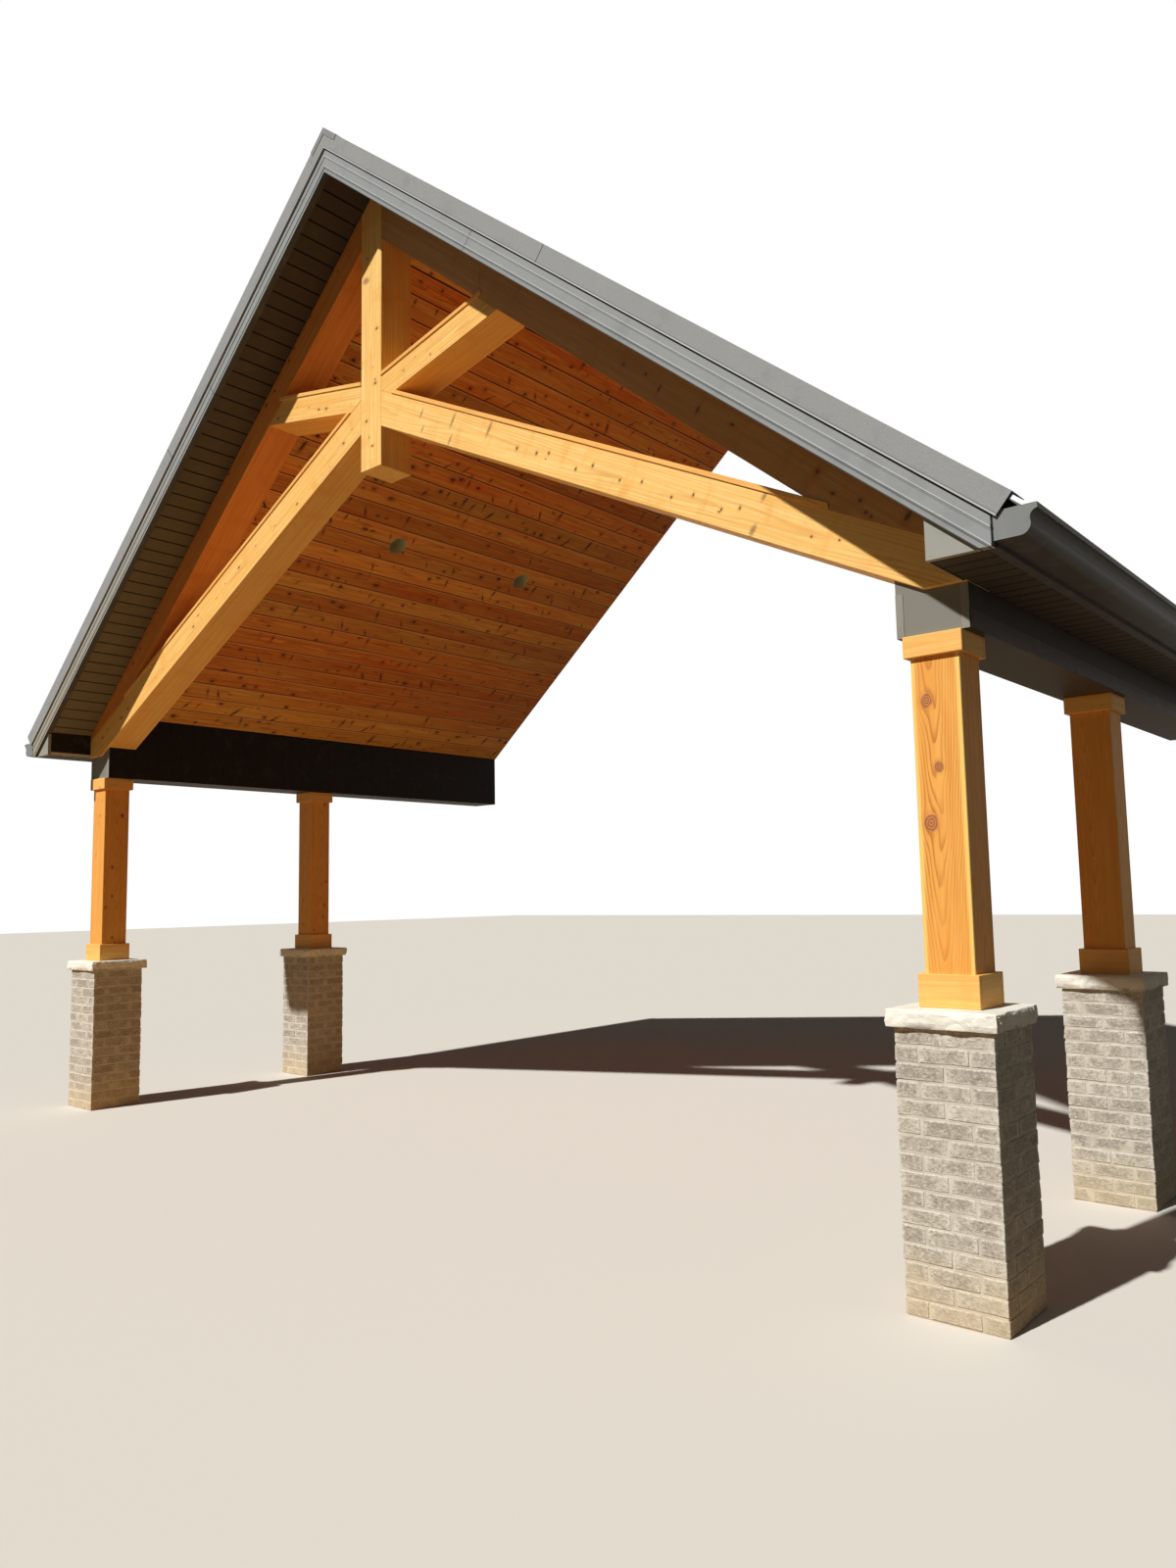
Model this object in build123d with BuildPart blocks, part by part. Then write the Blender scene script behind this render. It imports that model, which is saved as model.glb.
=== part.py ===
# Gable-roofed porch canopy on four brick piers, with an open timber truss in its front gable.
# All sizes are in millimetres. X runs along the gable, Y from the front to the back, Z up.
# The canopy is cut off plumb at its back end.
# The origin is on the ground, in the middle of the canopy's width and depth.
import math
import os

from build123d import *

os.makedirs("parts", exist_ok=True)

SIDES = (("left", -1), ("right", 1))

# Overall layout
post_spacing = 7160          # between the centres of the left and right posts
side_post_setback = 2000     # from the front posts to the posts under the middle of the side beams
front_post_to_back = 4290    # from the front posts to the back end of the canopy
rake_reach = 483             # from the front posts out to the face of the rake fascia
pitch_rise = 10              # roof pitch, rise over run
pitch_run = 12

# Brick piers and their stone caps
brick_course = 67.75
pier_courses = 16
pier_width = 397
cap_width = 465
cap_thickness = 72
cap_wash = 6                 # small slope round the top edge of the cap stone

# Timber posts, wrapped in boards, with a base and a capital of trim boards
post_width = 203
post_height = 1482
post_trim_thickness = 21.5
base_trim_height = 131
capital_trim_height = 89

# Side beams, clad in sheet metal
beam_width = 305
beam_end_height = 185        # from the posts up to the seat of the truss
beam_end_inset = 20          # the beam ends this far behind the face of the truss
corner_strip_width = 32
corner_strip_thickness = 3

# Front truss
truss_depth = 244
king_post_width = 200
king_post_drop = 301         # foot of the king post below where the chords' lower edges would meet
rafter_below_ceiling = 94    # how far the truss rafters hang below the ceiling, square to the slope
chord_rise = 6               # slope of the bottom chords, rise over run
chord_run = 12
chord_depth = 206
chord_bearing = 180          # flat length of the chord's heel on the beam
strut_rise = 2.5             # slope of the short struts, rise over run
strut_run = 12
strut_depth = 163
strut_foot_reach = 203       # from the centre line to where the underside of a strut meets its chord
cap_board_thickness = 25
cap_board_overhang = 19
cap_board_lap = 110          # how far the front edge of a cap board runs on over the rafter

# Roof layers, measured square to the slope from the underside of the ceiling
ceiling_rise = 311           # from the seat of the truss to the ceiling at the inner faces of the beams
ceiling_thickness = 19
roof_rafter_depth = 235
roof_rafter_width = 38
ridge_board_width = 38
deck_thickness = 15
ridge_vent_gap = 25
panel_thickness = 2
seam_height = 25
seam_width = 12
seam_pitch = 406
panel_overhang = 75          # along the slope, past the face of the eave fascia

# Ridge cap
ridge_cap_wing = 170         # down the slope from the ridge, on top of the cap
ridge_cap_thickness = 3
ridge_cap_hem = 35           # turned down over the face of the rake trim
ridge_closure_inset = 20     # the closures between the seams stand this far inside the edge of the cap

# Rake: soffit, ribbed fascia and the trim over it
rake_soffit_height = 88      # above the ceiling's underside, square to the slope
soffit_thickness = 12
fascia_bottom = 78
fascia_board_thickness = 38
fascia_rib_heights = (30, 82)
fascia_rib_width = 7
fascia_rib_depth = 4
fascia_hem_width = 14
rake_trim_bottom = 200
rake_trim_stand_off = 12     # face of the trim in front of the fascia
rake_trim_sheet = 3
rake_trim_flange = 110

# Eaves and gutters
eave_reach = 247             # from the outer face of the beam to the face of the eave fascia
eave_board_thickness = 38
return_panel_thickness = 12
return_recess = 13           # the triangular end panel lies this far behind the rake fascia
gutter_height = 107
gutter_bottom_width = 92
gutter_belly_width = 129     # to the crossover of the ogee
gutter_belly_height = 48
gutter_top_width = 155
gutter_neck_height = 86      # where the ogee turns up into the straight top of the front
gutter_lip = 14              # turned back inwards along the top of the front
gutter_wall = 2.5
gutter_lift = 15             # bottom of the gutter above the eave soffit

# Recessed light cans in the ceiling
can_radius = 80
can_depth = 150
can_wall = 3
can_clearance = 0.3
can_slope_distance = 2228    # from the centre line down the slope to the middle of a can
can_setbacks = (1496, 2969)  # from the front posts to the middle of each can
bays_between_cans = 3        # the rafters stand so that each can hangs midway between two of them

# Worked-out places
slope = pitch_rise / pitch_run
slope_length = math.hypot(pitch_rise, pitch_run)
cos_pitch = pitch_run / slope_length
sin_pitch = pitch_rise / slope_length
chord_slope = chord_rise / chord_run
chord_cos = math.cos(math.atan(chord_slope))
strut_slope = strut_rise / strut_run
strut_cos = math.cos(math.atan(strut_slope))

depth_over_all = front_post_to_back + rake_reach + rake_trim_stand_off + ridge_cap_thickness
y_back = depth_over_all / 2
y_front_posts = y_back - front_post_to_back
y_side_posts = y_front_posts + side_post_setback
y_truss_front = y_front_posts - truss_depth / 2
y_truss_back = y_front_posts + truss_depth / 2
y_fascia_front = y_front_posts - rake_reach
y_fascia_back = y_fascia_front + fascia_board_thickness
y_beam_end = y_truss_front + beam_end_inset

x_post = post_spacing / 2
post_trim_width = post_width + 2 * post_trim_thickness
x_beam_in = x_post - beam_width / 2
x_beam_out = x_post + beam_width / 2
x_eave_face = x_beam_out + eave_reach
x_eave_back = x_eave_face - eave_board_thickness
x_king = king_post_width / 2
x_ridge_board = ridge_board_width / 2

z_pier_top = pier_courses * brick_course
z_cap_top = z_pier_top + cap_thickness
z_beam_seat = z_cap_top + post_height
z_truss_seat = z_beam_seat + beam_end_height
z_ceiling_peak = z_truss_seat + ceiling_rise + slope * x_beam_in
z_eave_soffit = z_truss_seat
z_eave_soffit_top = z_eave_soffit + soffit_thickness

rafter_bottom = ceiling_thickness
rafter_top = rafter_bottom + roof_rafter_depth
deck_top = rafter_top + deck_thickness
panel_top = deck_top + panel_thickness
seam_top = panel_top + seam_height
rake_soffit_top = rake_soffit_height + soffit_thickness
roof_slope_length = (x_eave_face - deck_top * sin_pitch) / cos_pitch + panel_overhang


def slope_z(x, layer):
    """Height of a roof layer at x, where layer is measured square to the slope from the ceiling."""
    return z_ceiling_peak + layer / cos_pitch - slope * x


def slope_point(along, layer):
    """Point on the right-hand slope at a distance down the slope from the centre line."""
    x = along * cos_pitch + layer * sin_pitch
    return (x, z_ceiling_peak - along * sin_pitch + layer * cos_pitch)


def crossing(height_a, slope_a, height_b, slope_b):
    """Point where two straight edges cross, each given by its height at the centre line and its slope."""
    x = (height_b - height_a) / (slope_a - slope_b)
    return (x, height_a + slope_a * x)


def prism(outline, side, y_front, y_back, mode=Mode.ADD):
    """Add to the open part a piece with the same outline all the way from y_front to y_back."""
    with BuildSketch(Plane.XZ.offset(-y_back)) as profile:
        with BuildLine():
            Polyline(*[(side * x, z) for x, z in outline], close=True)
        make_face()
    extrude(profile.sketch, amount=y_back - y_front, dir=(0, -1, 0), mode=mode)


def slope_band(layers, side, y_front, y_back, x_start, x_end):
    """Add a board or sheet that lies on the slope, cut plumb at both ends."""
    low, high = layers
    outline = [(x_start, slope_z(x_start, low)), (x_end, slope_z(x_end, low)),
               (x_end, slope_z(x_end, high)), (x_start, slope_z(x_start, high))]
    prism(outline, side, y_front, y_back)


def sheet_band(layers, side, y_front, y_back, x_start, slope_end):
    """Add a sheet that lies on the slope, cut plumb at the ridge and square at its lower end."""
    low, high = layers
    outline = [(x_start, slope_z(x_start, low)), slope_point(slope_end, low),
               slope_point(slope_end, high), (x_start, slope_z(x_start, high))]
    prism(outline, side, y_front, y_back)


def finish(part, name):
    """Label a finished piece and write it to its own file."""
    part.label = name
    export_step(part, f"parts/{name}.step")


def finish_set(pieces, name):
    """Write a sub-part that is put together from several pieces, which stay solids of their own."""
    finish(Compound(children=pieces), name)


# Four columns: brick pier, cap stone, post, and the trim boards round the post
for row, y in (("front", y_front_posts), ("side", y_side_posts)):
    for side_name, side in SIDES:
        place = f"{row}_{side_name}"
        x = side * x_post

        with BuildPart() as pier:
            with BuildSketch(Plane.XY):
                with Locations((x, y)):
                    Rectangle(pier_width, pier_width)
            extrude(amount=z_pier_top)
        finish(pier.part, f"pier_{place}")

        with BuildPart() as cap_stone:
            with BuildSketch(Plane.XY.offset(z_pier_top)):
                with Locations((x, y)):
                    Rectangle(cap_width, cap_width)
            extrude(amount=cap_thickness)
            chamfer(cap_stone.faces().sort_by(Axis.Z)[-1].edges(), length=cap_wash)
        finish(cap_stone.part, f"cap_stone_{place}")

        with BuildPart() as post:
            with BuildSketch(Plane.XY.offset(z_cap_top)):
                with Locations((x, y)):
                    Rectangle(post_width, post_width)
            extrude(amount=post_height)
        finish(post.part, f"post_{place}")

        # Boards round the foot and the head of the post: two full width, two between them
        trim_offset = (post_width + post_trim_thickness) / 2
        boards = ((0, -trim_offset, post_trim_width, post_trim_thickness),
                  (0, trim_offset, post_trim_width, post_trim_thickness),
                  (-trim_offset, 0, post_trim_thickness, post_width),
                  (trim_offset, 0, post_trim_thickness, post_width))
        trim_boards = []
        for z_foot, height in ((z_cap_top, base_trim_height),
                               (z_beam_seat - capital_trim_height, capital_trim_height)):
            for x_offset, y_offset, x_size, y_size in boards:
                with BuildPart() as trim_board:
                    with BuildSketch(Plane.XY.offset(z_foot)):
                        with Locations((x + x_offset, y + y_offset)):
                            Rectangle(x_size, y_size)
                    extrude(amount=height)
                trim_boards.append(trim_board.part)
        finish_set(trim_boards, f"post_trim_{place}")

# Heights of the truss edges at the centre line
z_rafter_edge = slope_z(0, -rafter_below_ceiling)
x_heel_flat = x_beam_out - chord_bearing
z_chord_edge = z_truss_seat + chord_slope * x_heel_flat
z_chord_top = z_chord_edge + chord_depth / chord_cos
z_chord_cap_top = z_chord_top + cap_board_thickness / chord_cos
z_strut_edge = z_chord_top - (chord_slope + strut_slope) * strut_foot_reach
z_strut_top = z_strut_edge + strut_depth / strut_cos
z_strut_cap_top = z_strut_top + cap_board_thickness / strut_cos


def chord_z(x, height):
    """Height at x of an edge of the bottom chord that would reach height at the centre line."""
    return height - chord_slope * x


def strut_z(x, height):
    """Height at x of an edge of the strut that would start from height at the centre line."""
    return height + strut_slope * x


with BuildPart() as king_post:
    z_king_foot = z_chord_edge - king_post_drop
    z_king_shoulder = slope_z(x_king, rafter_top)
    prism([(-x_king, z_king_foot), (x_king, z_king_foot), (x_king, z_king_shoulder),
           (0, slope_z(0, rafter_top)), (-x_king, z_king_shoulder)], 1, y_truss_front, y_truss_back)
finish(king_post.part, "king_post")

chord_meets_rafter = crossing(z_chord_top, -chord_slope, z_rafter_edge, -slope)
chord_cap_meets_rafter = crossing(z_chord_cap_top, -chord_slope, z_rafter_edge, -slope)
strut_foot_low = crossing(z_strut_edge, strut_slope, z_chord_top, -chord_slope)
strut_foot_high = crossing(z_strut_edge, strut_slope, z_chord_cap_top, -chord_slope)
strut_head_low = crossing(z_strut_edge, strut_slope, z_rafter_edge, -slope)
strut_head_high = crossing(z_strut_top, strut_slope, z_rafter_edge, -slope)
strut_cap_end = crossing(z_strut_cap_top, strut_slope, z_rafter_edge, -slope)

for side_name, side in SIDES:
    with BuildPart() as rafter:
        prism([(x_king, slope_z(x_king, -rafter_below_ceiling)), chord_meets_rafter,
               (x_beam_out, chord_z(x_beam_out, z_chord_top)),
               (x_beam_out, slope_z(x_beam_out, rafter_top)),
               (x_king, slope_z(x_king, rafter_top))], side, y_truss_front, y_truss_back)
    finish(rafter.part, f"truss_rafter_{side_name}")

    with BuildPart() as bottom_chord:
        prism([(x_king, chord_z(x_king, z_chord_edge)), (x_heel_flat, z_truss_seat),
               (x_beam_out, z_truss_seat), (x_beam_out, chord_z(x_beam_out, z_chord_top)),
               (x_king, chord_z(x_king, z_chord_top))],
              side, y_truss_front, y_truss_back)
    finish(bottom_chord.part, f"bottom_chord_{side_name}")

    with BuildPart() as strut:
        prism([(x_king, chord_z(x_king, z_chord_top)), strut_foot_low, strut_head_low, strut_head_high,
               (x_king, strut_z(x_king, z_strut_top))], side, y_truss_front, y_truss_back)
    finish(strut.part, f"strut_{side_name}")

    # A cap board lies on the chord and another on the strut. Their front edges lap over the rafter.
    y_cap_front = y_truss_front - cap_board_overhang
    y_cap_back = y_truss_back + cap_board_overhang
    with BuildPart() as cap_boards:
        chord_cap = [strut_foot_low, strut_foot_high, chord_cap_meets_rafter, chord_meets_rafter]
        prism(chord_cap, side, y_cap_front, y_cap_back)
        lap_x = chord_cap_meets_rafter[0] + cap_board_lap * chord_cos
        chord_lap = [chord_meets_rafter, (lap_x, chord_z(lap_x, z_chord_top)),
                     (lap_x, chord_z(lap_x, z_chord_cap_top)), chord_cap_meets_rafter]
        prism(chord_lap, side, y_cap_front, y_truss_front)
        prism([(x_king, strut_z(x_king, z_strut_top)), strut_head_high, strut_cap_end,
               (x_king, strut_z(x_king, z_strut_cap_top))], side, y_cap_front, y_cap_back)
        lap_x = strut_cap_end[0] + cap_board_lap * strut_cos
        strut_lap = [strut_head_high, (lap_x, strut_z(lap_x, z_strut_top)),
                     (lap_x, strut_z(lap_x, z_strut_cap_top)), strut_cap_end]
        prism(strut_lap, side, y_cap_front, y_truss_front)
    finish(cap_boards.part, f"truss_cap_boards_{side_name}")

# Side beams: a low end under the heel of the truss, and full height behind it up to the roof rafters
for side_name, side in SIDES:
    with BuildPart() as side_beam:
        prism([(x_beam_in, z_beam_seat), (x_beam_out, z_beam_seat), (x_beam_out, z_truss_seat),
               (x_heel_flat, z_truss_seat), (x_beam_in, chord_z(x_beam_in, z_chord_edge))],
              side, y_beam_end, y_truss_back)
        prism([(x_beam_in, z_beam_seat), (x_beam_out, z_beam_seat),
               (x_beam_out, slope_z(x_beam_out, rafter_bottom)),
               (x_beam_in, slope_z(x_beam_in, rafter_bottom))], side, y_truss_back, y_back)
    finish(side_beam.part, f"side_beam_{side_name}")

    # Sheet metal corner strips on the beam's end
    y_strip = y_beam_end - corner_strip_thickness
    with BuildPart() as corner_strips:
        for edge, inward in ((x_beam_in, 1), (x_beam_out, -1)):
            other = edge + inward * corner_strip_width
            strip = [(edge, z_beam_seat), (other, z_beam_seat), (other, z_truss_seat), (edge, z_truss_seat)]
            prism(strip, side, y_strip, y_beam_end)
    finish(corner_strips.part, f"beam_corner_strips_{side_name}")

# Vaulted ceiling with round holes for the light cans
for side_name, side in SIDES:
    can_planes = []
    for setback in can_setbacks:
        x, z = slope_point(can_slope_distance, 0)
        can_planes.append(Plane(origin=(side * x, y_front_posts + setback, z), x_dir=(0, 1, 0),
                                z_dir=(side * sin_pitch, 0, cos_pitch)))
    with BuildPart() as ceiling:
        slope_band((0, ceiling_thickness), side, y_truss_back, y_back, 0, x_beam_in)
        for plane in can_planes:
            with BuildSketch(plane):
                Circle(can_radius)
            extrude(amount=ceiling_thickness, mode=Mode.SUBTRACT)
    finish(ceiling.part, f"ceiling_{side_name}")

    with BuildPart() as light_cans:
        for plane in can_planes:
            with BuildSketch(plane):
                Circle(can_radius - can_clearance)
            extrude(amount=can_depth)
            with BuildSketch(plane):
                Circle(can_radius - can_clearance - can_wall)
            extrude(amount=can_depth - can_wall, mode=Mode.SUBTRACT)
    finish(light_cans.part, f"light_cans_{side_name}")

# Roof framing: pairs of rafters against a ridge board, with tails cut level over the boxed eave
tail_x = crossing(slope_z(0, rafter_bottom), -slope, z_eave_soffit_top, 0)[0]
rafter_step = (can_setbacks[1] - can_setbacks[0]) / bays_between_cans
y_behind_can = y_front_posts + can_setbacks[0] + (rafter_step - roof_rafter_width) / 2
y_end_rafter = y_back - roof_rafter_width
rafters_before = int((y_behind_can - y_truss_back) / rafter_step)
# The last regular rafter stays at least half a bay clear of the one at the back end
rafters_after = int((y_end_rafter - y_behind_can - rafter_step / 2) / rafter_step)
rafter_places = [y_behind_can + index * rafter_step for index in range(-rafters_before, rafters_after + 1)]
framing_pieces = []
for y in rafter_places + [y_end_rafter]:
    for side_name, side in SIDES:
        with BuildPart() as roof_rafter:
            prism([(x_ridge_board, slope_z(x_ridge_board, rafter_bottom)), (tail_x, z_eave_soffit_top),
                   (x_eave_back, z_eave_soffit_top), (x_eave_back, slope_z(x_eave_back, rafter_top)),
                   (x_ridge_board, slope_z(x_ridge_board, rafter_top))], side, y, y + roof_rafter_width)
        framing_pieces.append(roof_rafter.part)

with BuildPart() as ridge_board:
    z_board_low = slope_z(0, rafter_bottom)
    z_board_high = slope_z(x_ridge_board, rafter_top)
    prism([(-x_ridge_board, z_board_low), (x_ridge_board, z_board_low), (x_ridge_board, z_board_high),
           (-x_ridge_board, z_board_high)], 1, y_truss_back, y_back)
finish_set(framing_pieces + [ridge_board.part], "roof_framing")

# Roof deck in two slopes, with a vent gap between them at the ridge
with BuildPart() as roof_deck:
    for side_name, side in SIDES:
        slope_band((rafter_top, deck_top), side, y_fascia_front, y_back, ridge_vent_gap, x_eave_face)
finish(roof_deck.part, "roof_deck")

# Standing-seam roof panels
seam_count = int((y_back - y_fascia_front - seam_width) / seam_pitch) + 1
for side_name, side in SIDES:
    with BuildPart() as roof_sheet:
        sheet_band((deck_top, panel_top), side, y_fascia_front, y_back, ridge_vent_gap, roof_slope_length)
    panel_pieces = [roof_sheet.part]
    for index in range(seam_count):
        y = y_fascia_front + index * seam_pitch
        with BuildPart() as seam:
            sheet_band((panel_top, seam_top), side, y, y + seam_width, ridge_vent_gap, roof_slope_length)
        panel_pieces.append(seam.part)
    finish_set(panel_pieces, f"roof_panels_{side_name}")

# Ridge cap: a bent sheet over the seams of both slopes, with a hem over the rake trim and closures between
# the seams
y_hem_back = y_fascia_front - rake_trim_stand_off
y_cap_start = y_hem_back - ridge_cap_thickness
cap_low = seam_top + rake_trim_sheet
cap_high = cap_low + ridge_cap_thickness
cap_end = ridge_cap_wing - slope * cap_high
cap_wings = []
for side_name, side in SIDES:
    with BuildPart() as ridge_wing:
        sheet_band((cap_low, cap_high), side, y_cap_start, y_back, 0, cap_end)
        sheet_band((cap_high - ridge_cap_hem, cap_low), side, y_cap_start, y_hem_back, 0, cap_end)
        closure_start = cap_end - ridge_closure_inset
        closure_end = closure_start + ridge_cap_thickness
        closure = [slope_point(closure_start, panel_top), slope_point(closure_end, panel_top),
                   slope_point(closure_end, cap_low), slope_point(closure_start, cap_low)]
        for index in range(seam_count):
            y = y_fascia_front + index * seam_pitch + seam_width
            clear_of_trim = y_fascia_front + rake_trim_flange if index == 0 else y
            prism(closure, side, clear_of_trim, min(y + seam_pitch - seam_width, y_back))
    cap_wings.append(ridge_wing.part)
finish_set(cap_wings, "ridge_cap")

# Rake fascia: a board with two pressed ribs and a hem, cut level and plumb at the eave
for side_name, side in SIDES:
    y_rib = y_fascia_front - fascia_rib_depth
    fascia_toe = crossing(slope_z(0, fascia_bottom), -slope, z_eave_soffit, 0)
    fascia_outline = [(0, slope_z(0, fascia_bottom)), fascia_toe, (x_eave_face, z_eave_soffit),
                      (x_eave_face, slope_z(x_eave_face, rafter_top)), (0, slope_z(0, rafter_top))]
    with BuildPart() as rake_fascia:
        prism(fascia_outline, side, y_fascia_front, y_fascia_back)
        pressed = [(0, fascia_hem_width)] + [(height, fascia_rib_width) for height in fascia_rib_heights]
        for height, width in pressed:
            low = fascia_bottom + height
            slope_band((low, low + width), side, y_rib, y_fascia_front, 0, x_eave_face)
        split(bisect_by=Plane.XY.offset(z_eave_soffit))
    finish(rake_fascia.part, f"rake_fascia_{side_name}")

    # Trim over the top of the rake: a face, a hem back to the fascia, and a flange over the panels
    y_trim = y_fascia_front - rake_trim_stand_off
    y_behind = y_trim + rake_trim_sheet
    hem_layers = (rake_trim_bottom, rake_trim_bottom + rake_trim_sheet)
    flange_layers = (seam_top, seam_top + rake_trim_sheet)
    trim_pieces = []
    for layers, y_start, y_end in (((rake_trim_bottom, seam_top), y_trim, y_behind),
                                   (hem_layers, y_behind, y_fascia_front),
                                   (flange_layers, y_trim, y_fascia_front + rake_trim_flange)):
        with BuildPart() as trim_piece:
            sheet_band(layers, side, y_start, y_end, 0, roof_slope_length)
        trim_pieces.append(trim_piece.part)
    finish_set(trim_pieces, f"rake_trim_{side_name}")

    with BuildPart() as rake_soffit:
        soffit_layers = (rake_soffit_height, rake_soffit_top)
        slope_band(soffit_layers, side, y_fascia_back, y_truss_front, 0, x_beam_out)
    finish(rake_soffit.part, f"rake_soffit_{side_name}")

# Boxed eaves: level soffit, the side panel of the return and its triangular end
for side_name, side in SIDES:
    x_return = x_beam_out - return_panel_thickness
    y_end = y_fascia_front + return_recess
    with BuildPart() as eave_soffit:
        prism([(x_beam_out, z_eave_soffit), (x_eave_back, z_eave_soffit),
               (x_eave_back, z_eave_soffit_top), (x_beam_out, z_eave_soffit_top)],
              side, y_fascia_back, y_back)
    with BuildPart() as return_panel:
        prism([(x_return, z_eave_soffit), (x_beam_out, z_eave_soffit),
               (x_beam_out, slope_z(x_beam_out, rake_soffit_height)),
               (x_return, slope_z(x_return, rake_soffit_height))], side, y_fascia_back, y_truss_front)
    with BuildPart() as return_end:
        prism([(x_return, z_eave_soffit), crossing(slope_z(0, fascia_bottom), -slope, z_eave_soffit, 0),
               (x_return, slope_z(x_return, fascia_bottom))], side, y_end, y_fascia_back)
    finish_set([eave_soffit.part, return_panel.part, return_end.part], f"boxed_eave_{side_name}")

    with BuildPart() as eave_fascia:
        prism([(x_eave_back, z_eave_soffit), (x_eave_face, z_eave_soffit),
               (x_eave_face, slope_z(x_eave_face, rafter_top)),
               (x_eave_back, slope_z(x_eave_back, rafter_top))], side, y_fascia_back, y_back)
    finish(eave_fascia.part, f"eave_fascia_{side_name}")

# Gutters with an ogee front, hung on the eave fascia


def gutter_line():
    """Outer line of the gutter's section: down its back, along its floor and up the ogee to the top."""
    Polyline((0, gutter_height), (0, 0), (gutter_bottom_width, 0))
    crossover = (gutter_belly_width, gutter_belly_height)
    neck = (gutter_top_width, gutter_neck_height)
    belly = TangentArc((gutter_bottom_width, 0), crossover, tangent=(1, 0))
    TangentArc(crossover, neck, tangent=belly % 1)
    Line(neck, (gutter_top_width, gutter_height))


for side_name, side in SIDES:
    z_gutter = z_eave_soffit + gutter_lift
    gutter_length = y_back - y_fascia_front
    plane = Plane(origin=(side * x_eave_face, y_back, z_gutter), x_dir=(side, 0, 0), z_dir=(0, -side, 0))

    with BuildPart() as gutter_sheet:
        with BuildSketch(plane.offset(side * gutter_wall)) as bent_sheet:
            with BuildLine():
                gutter_line()
                Line((gutter_top_width, gutter_height), (gutter_top_width - gutter_lip, gutter_height))
                offset(amount=gutter_wall, side=Side.RIGHT)
            make_face()
        extrude(bent_sheet.sketch, amount=gutter_length - 2 * gutter_wall, dir=(0, -1, 0))
    gutter_pieces = [gutter_sheet.part]

    for y_cap_end in (y_back, y_fascia_front + gutter_wall):
        with BuildPart() as end_cap:
            with BuildSketch(plane.offset(side * (y_back - y_cap_end))) as cap_outline:
                with BuildLine():
                    gutter_line()
                    Line((gutter_top_width, gutter_height), (0, gutter_height))
                make_face()
            extrude(cap_outline.sketch, amount=gutter_wall, dir=(0, -1, 0))
        gutter_pieces.append(end_cap.part)
    finish_set(gutter_pieces, f"gutter_{side_name}")
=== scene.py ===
# Looks of a gabled porch canopy: brick piers, cedar posts and truss, board ceiling and metal trim.
# Everything is in metres: X along the gable, Y from the front to the back, Z up.
import math
import random

import bpy
import numpy as np
from mathutils import Matrix, Vector, noise


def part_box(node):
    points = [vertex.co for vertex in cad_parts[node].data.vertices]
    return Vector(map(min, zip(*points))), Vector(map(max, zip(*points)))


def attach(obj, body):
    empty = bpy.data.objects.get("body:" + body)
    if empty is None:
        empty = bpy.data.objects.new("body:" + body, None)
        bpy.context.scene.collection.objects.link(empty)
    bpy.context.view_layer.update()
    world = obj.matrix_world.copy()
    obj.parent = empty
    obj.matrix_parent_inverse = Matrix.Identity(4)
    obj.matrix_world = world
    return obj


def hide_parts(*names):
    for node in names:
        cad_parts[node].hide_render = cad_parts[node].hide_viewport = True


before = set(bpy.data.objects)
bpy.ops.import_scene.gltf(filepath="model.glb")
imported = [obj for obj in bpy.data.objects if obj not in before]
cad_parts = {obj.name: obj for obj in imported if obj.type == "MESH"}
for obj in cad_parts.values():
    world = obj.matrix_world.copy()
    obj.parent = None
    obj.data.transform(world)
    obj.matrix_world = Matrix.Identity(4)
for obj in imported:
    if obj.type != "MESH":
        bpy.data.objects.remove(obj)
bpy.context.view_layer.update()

SIDES = (("left", -1), ("right", 1))
PLACES = [f"{row}_{side}" for row in ("front", "side") for side in ("left", "right")]

# Brick piers and stone caps
brick_length, brick_width, brick_height = 0.1935, 0.09175, 0.0577
brick_half = (brick_length / 2, brick_width / 2, brick_height / 2)
brick_courses, brick_edge = 16, 0.003
mortar_recess, mortar_ease = 0.003, 0.002
stone_ease, stone_cells = 0.005, (64, 64, 12)

# Boards round the posts and over the ceiling
post_board, board_ease = 0.019, 0.002
post_base_height, post_capital_height = 0.131, 0.089
ceiling_board, ceiling_thickness, ceiling_ease, board_gap = 0.1587, 0.019, 0.004, 0.0006
ceiling_top, ceiling_offset = 0.004, 0.0107
can_radius, can_along, can_setbacks, can_steps = 0.080, 2.228, (1.496, 2.969), 24

# Sheet metal; heights square to the roof are counted from the ceiling
soffit_board, soffit_thickness, soffit_gap, soffit_ease = 0.1016, 0.012, 0.0015, 0.004
rake_soffit_layer, smallest_panel = 0.088, 0.01
return_thickness, return_ease, return_setback = 0.012, 0.001, 0.013
strip_height, strip_thickness, strip_ease = 0.024, 0.0015, 0.0003
beam_strips, beam_strip_ease = ((0.0, 0.048, 0.005), (0.0486, 0.077, 0.0025)), 0.0006
fascia_bottom, fascia_thickness, fascia_rib_depth = 0.078, 0.038, 0.004
fascia_hem, fascia_ribs = 0.014, ((0.030, 0.65), (0.082, 0.3))
trim_bottom, beam_layer = 0.200, 0.038

# Truss timbers; drops and depths are square to their slopes
rafter_drop, rafter_top = 0.094, 0.254
chord_slope, chord_depth, chord_bearing = 0.5, 0.206, 0.180
strut_slope, strut_depth, strut_reach = 2.5 / 12, 0.163, 0.203
cap_thickness, cap_overhang, chord_cap_lap, strut_cap_lap = 0.025, 0.008, 0.135, 0.058

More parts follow.
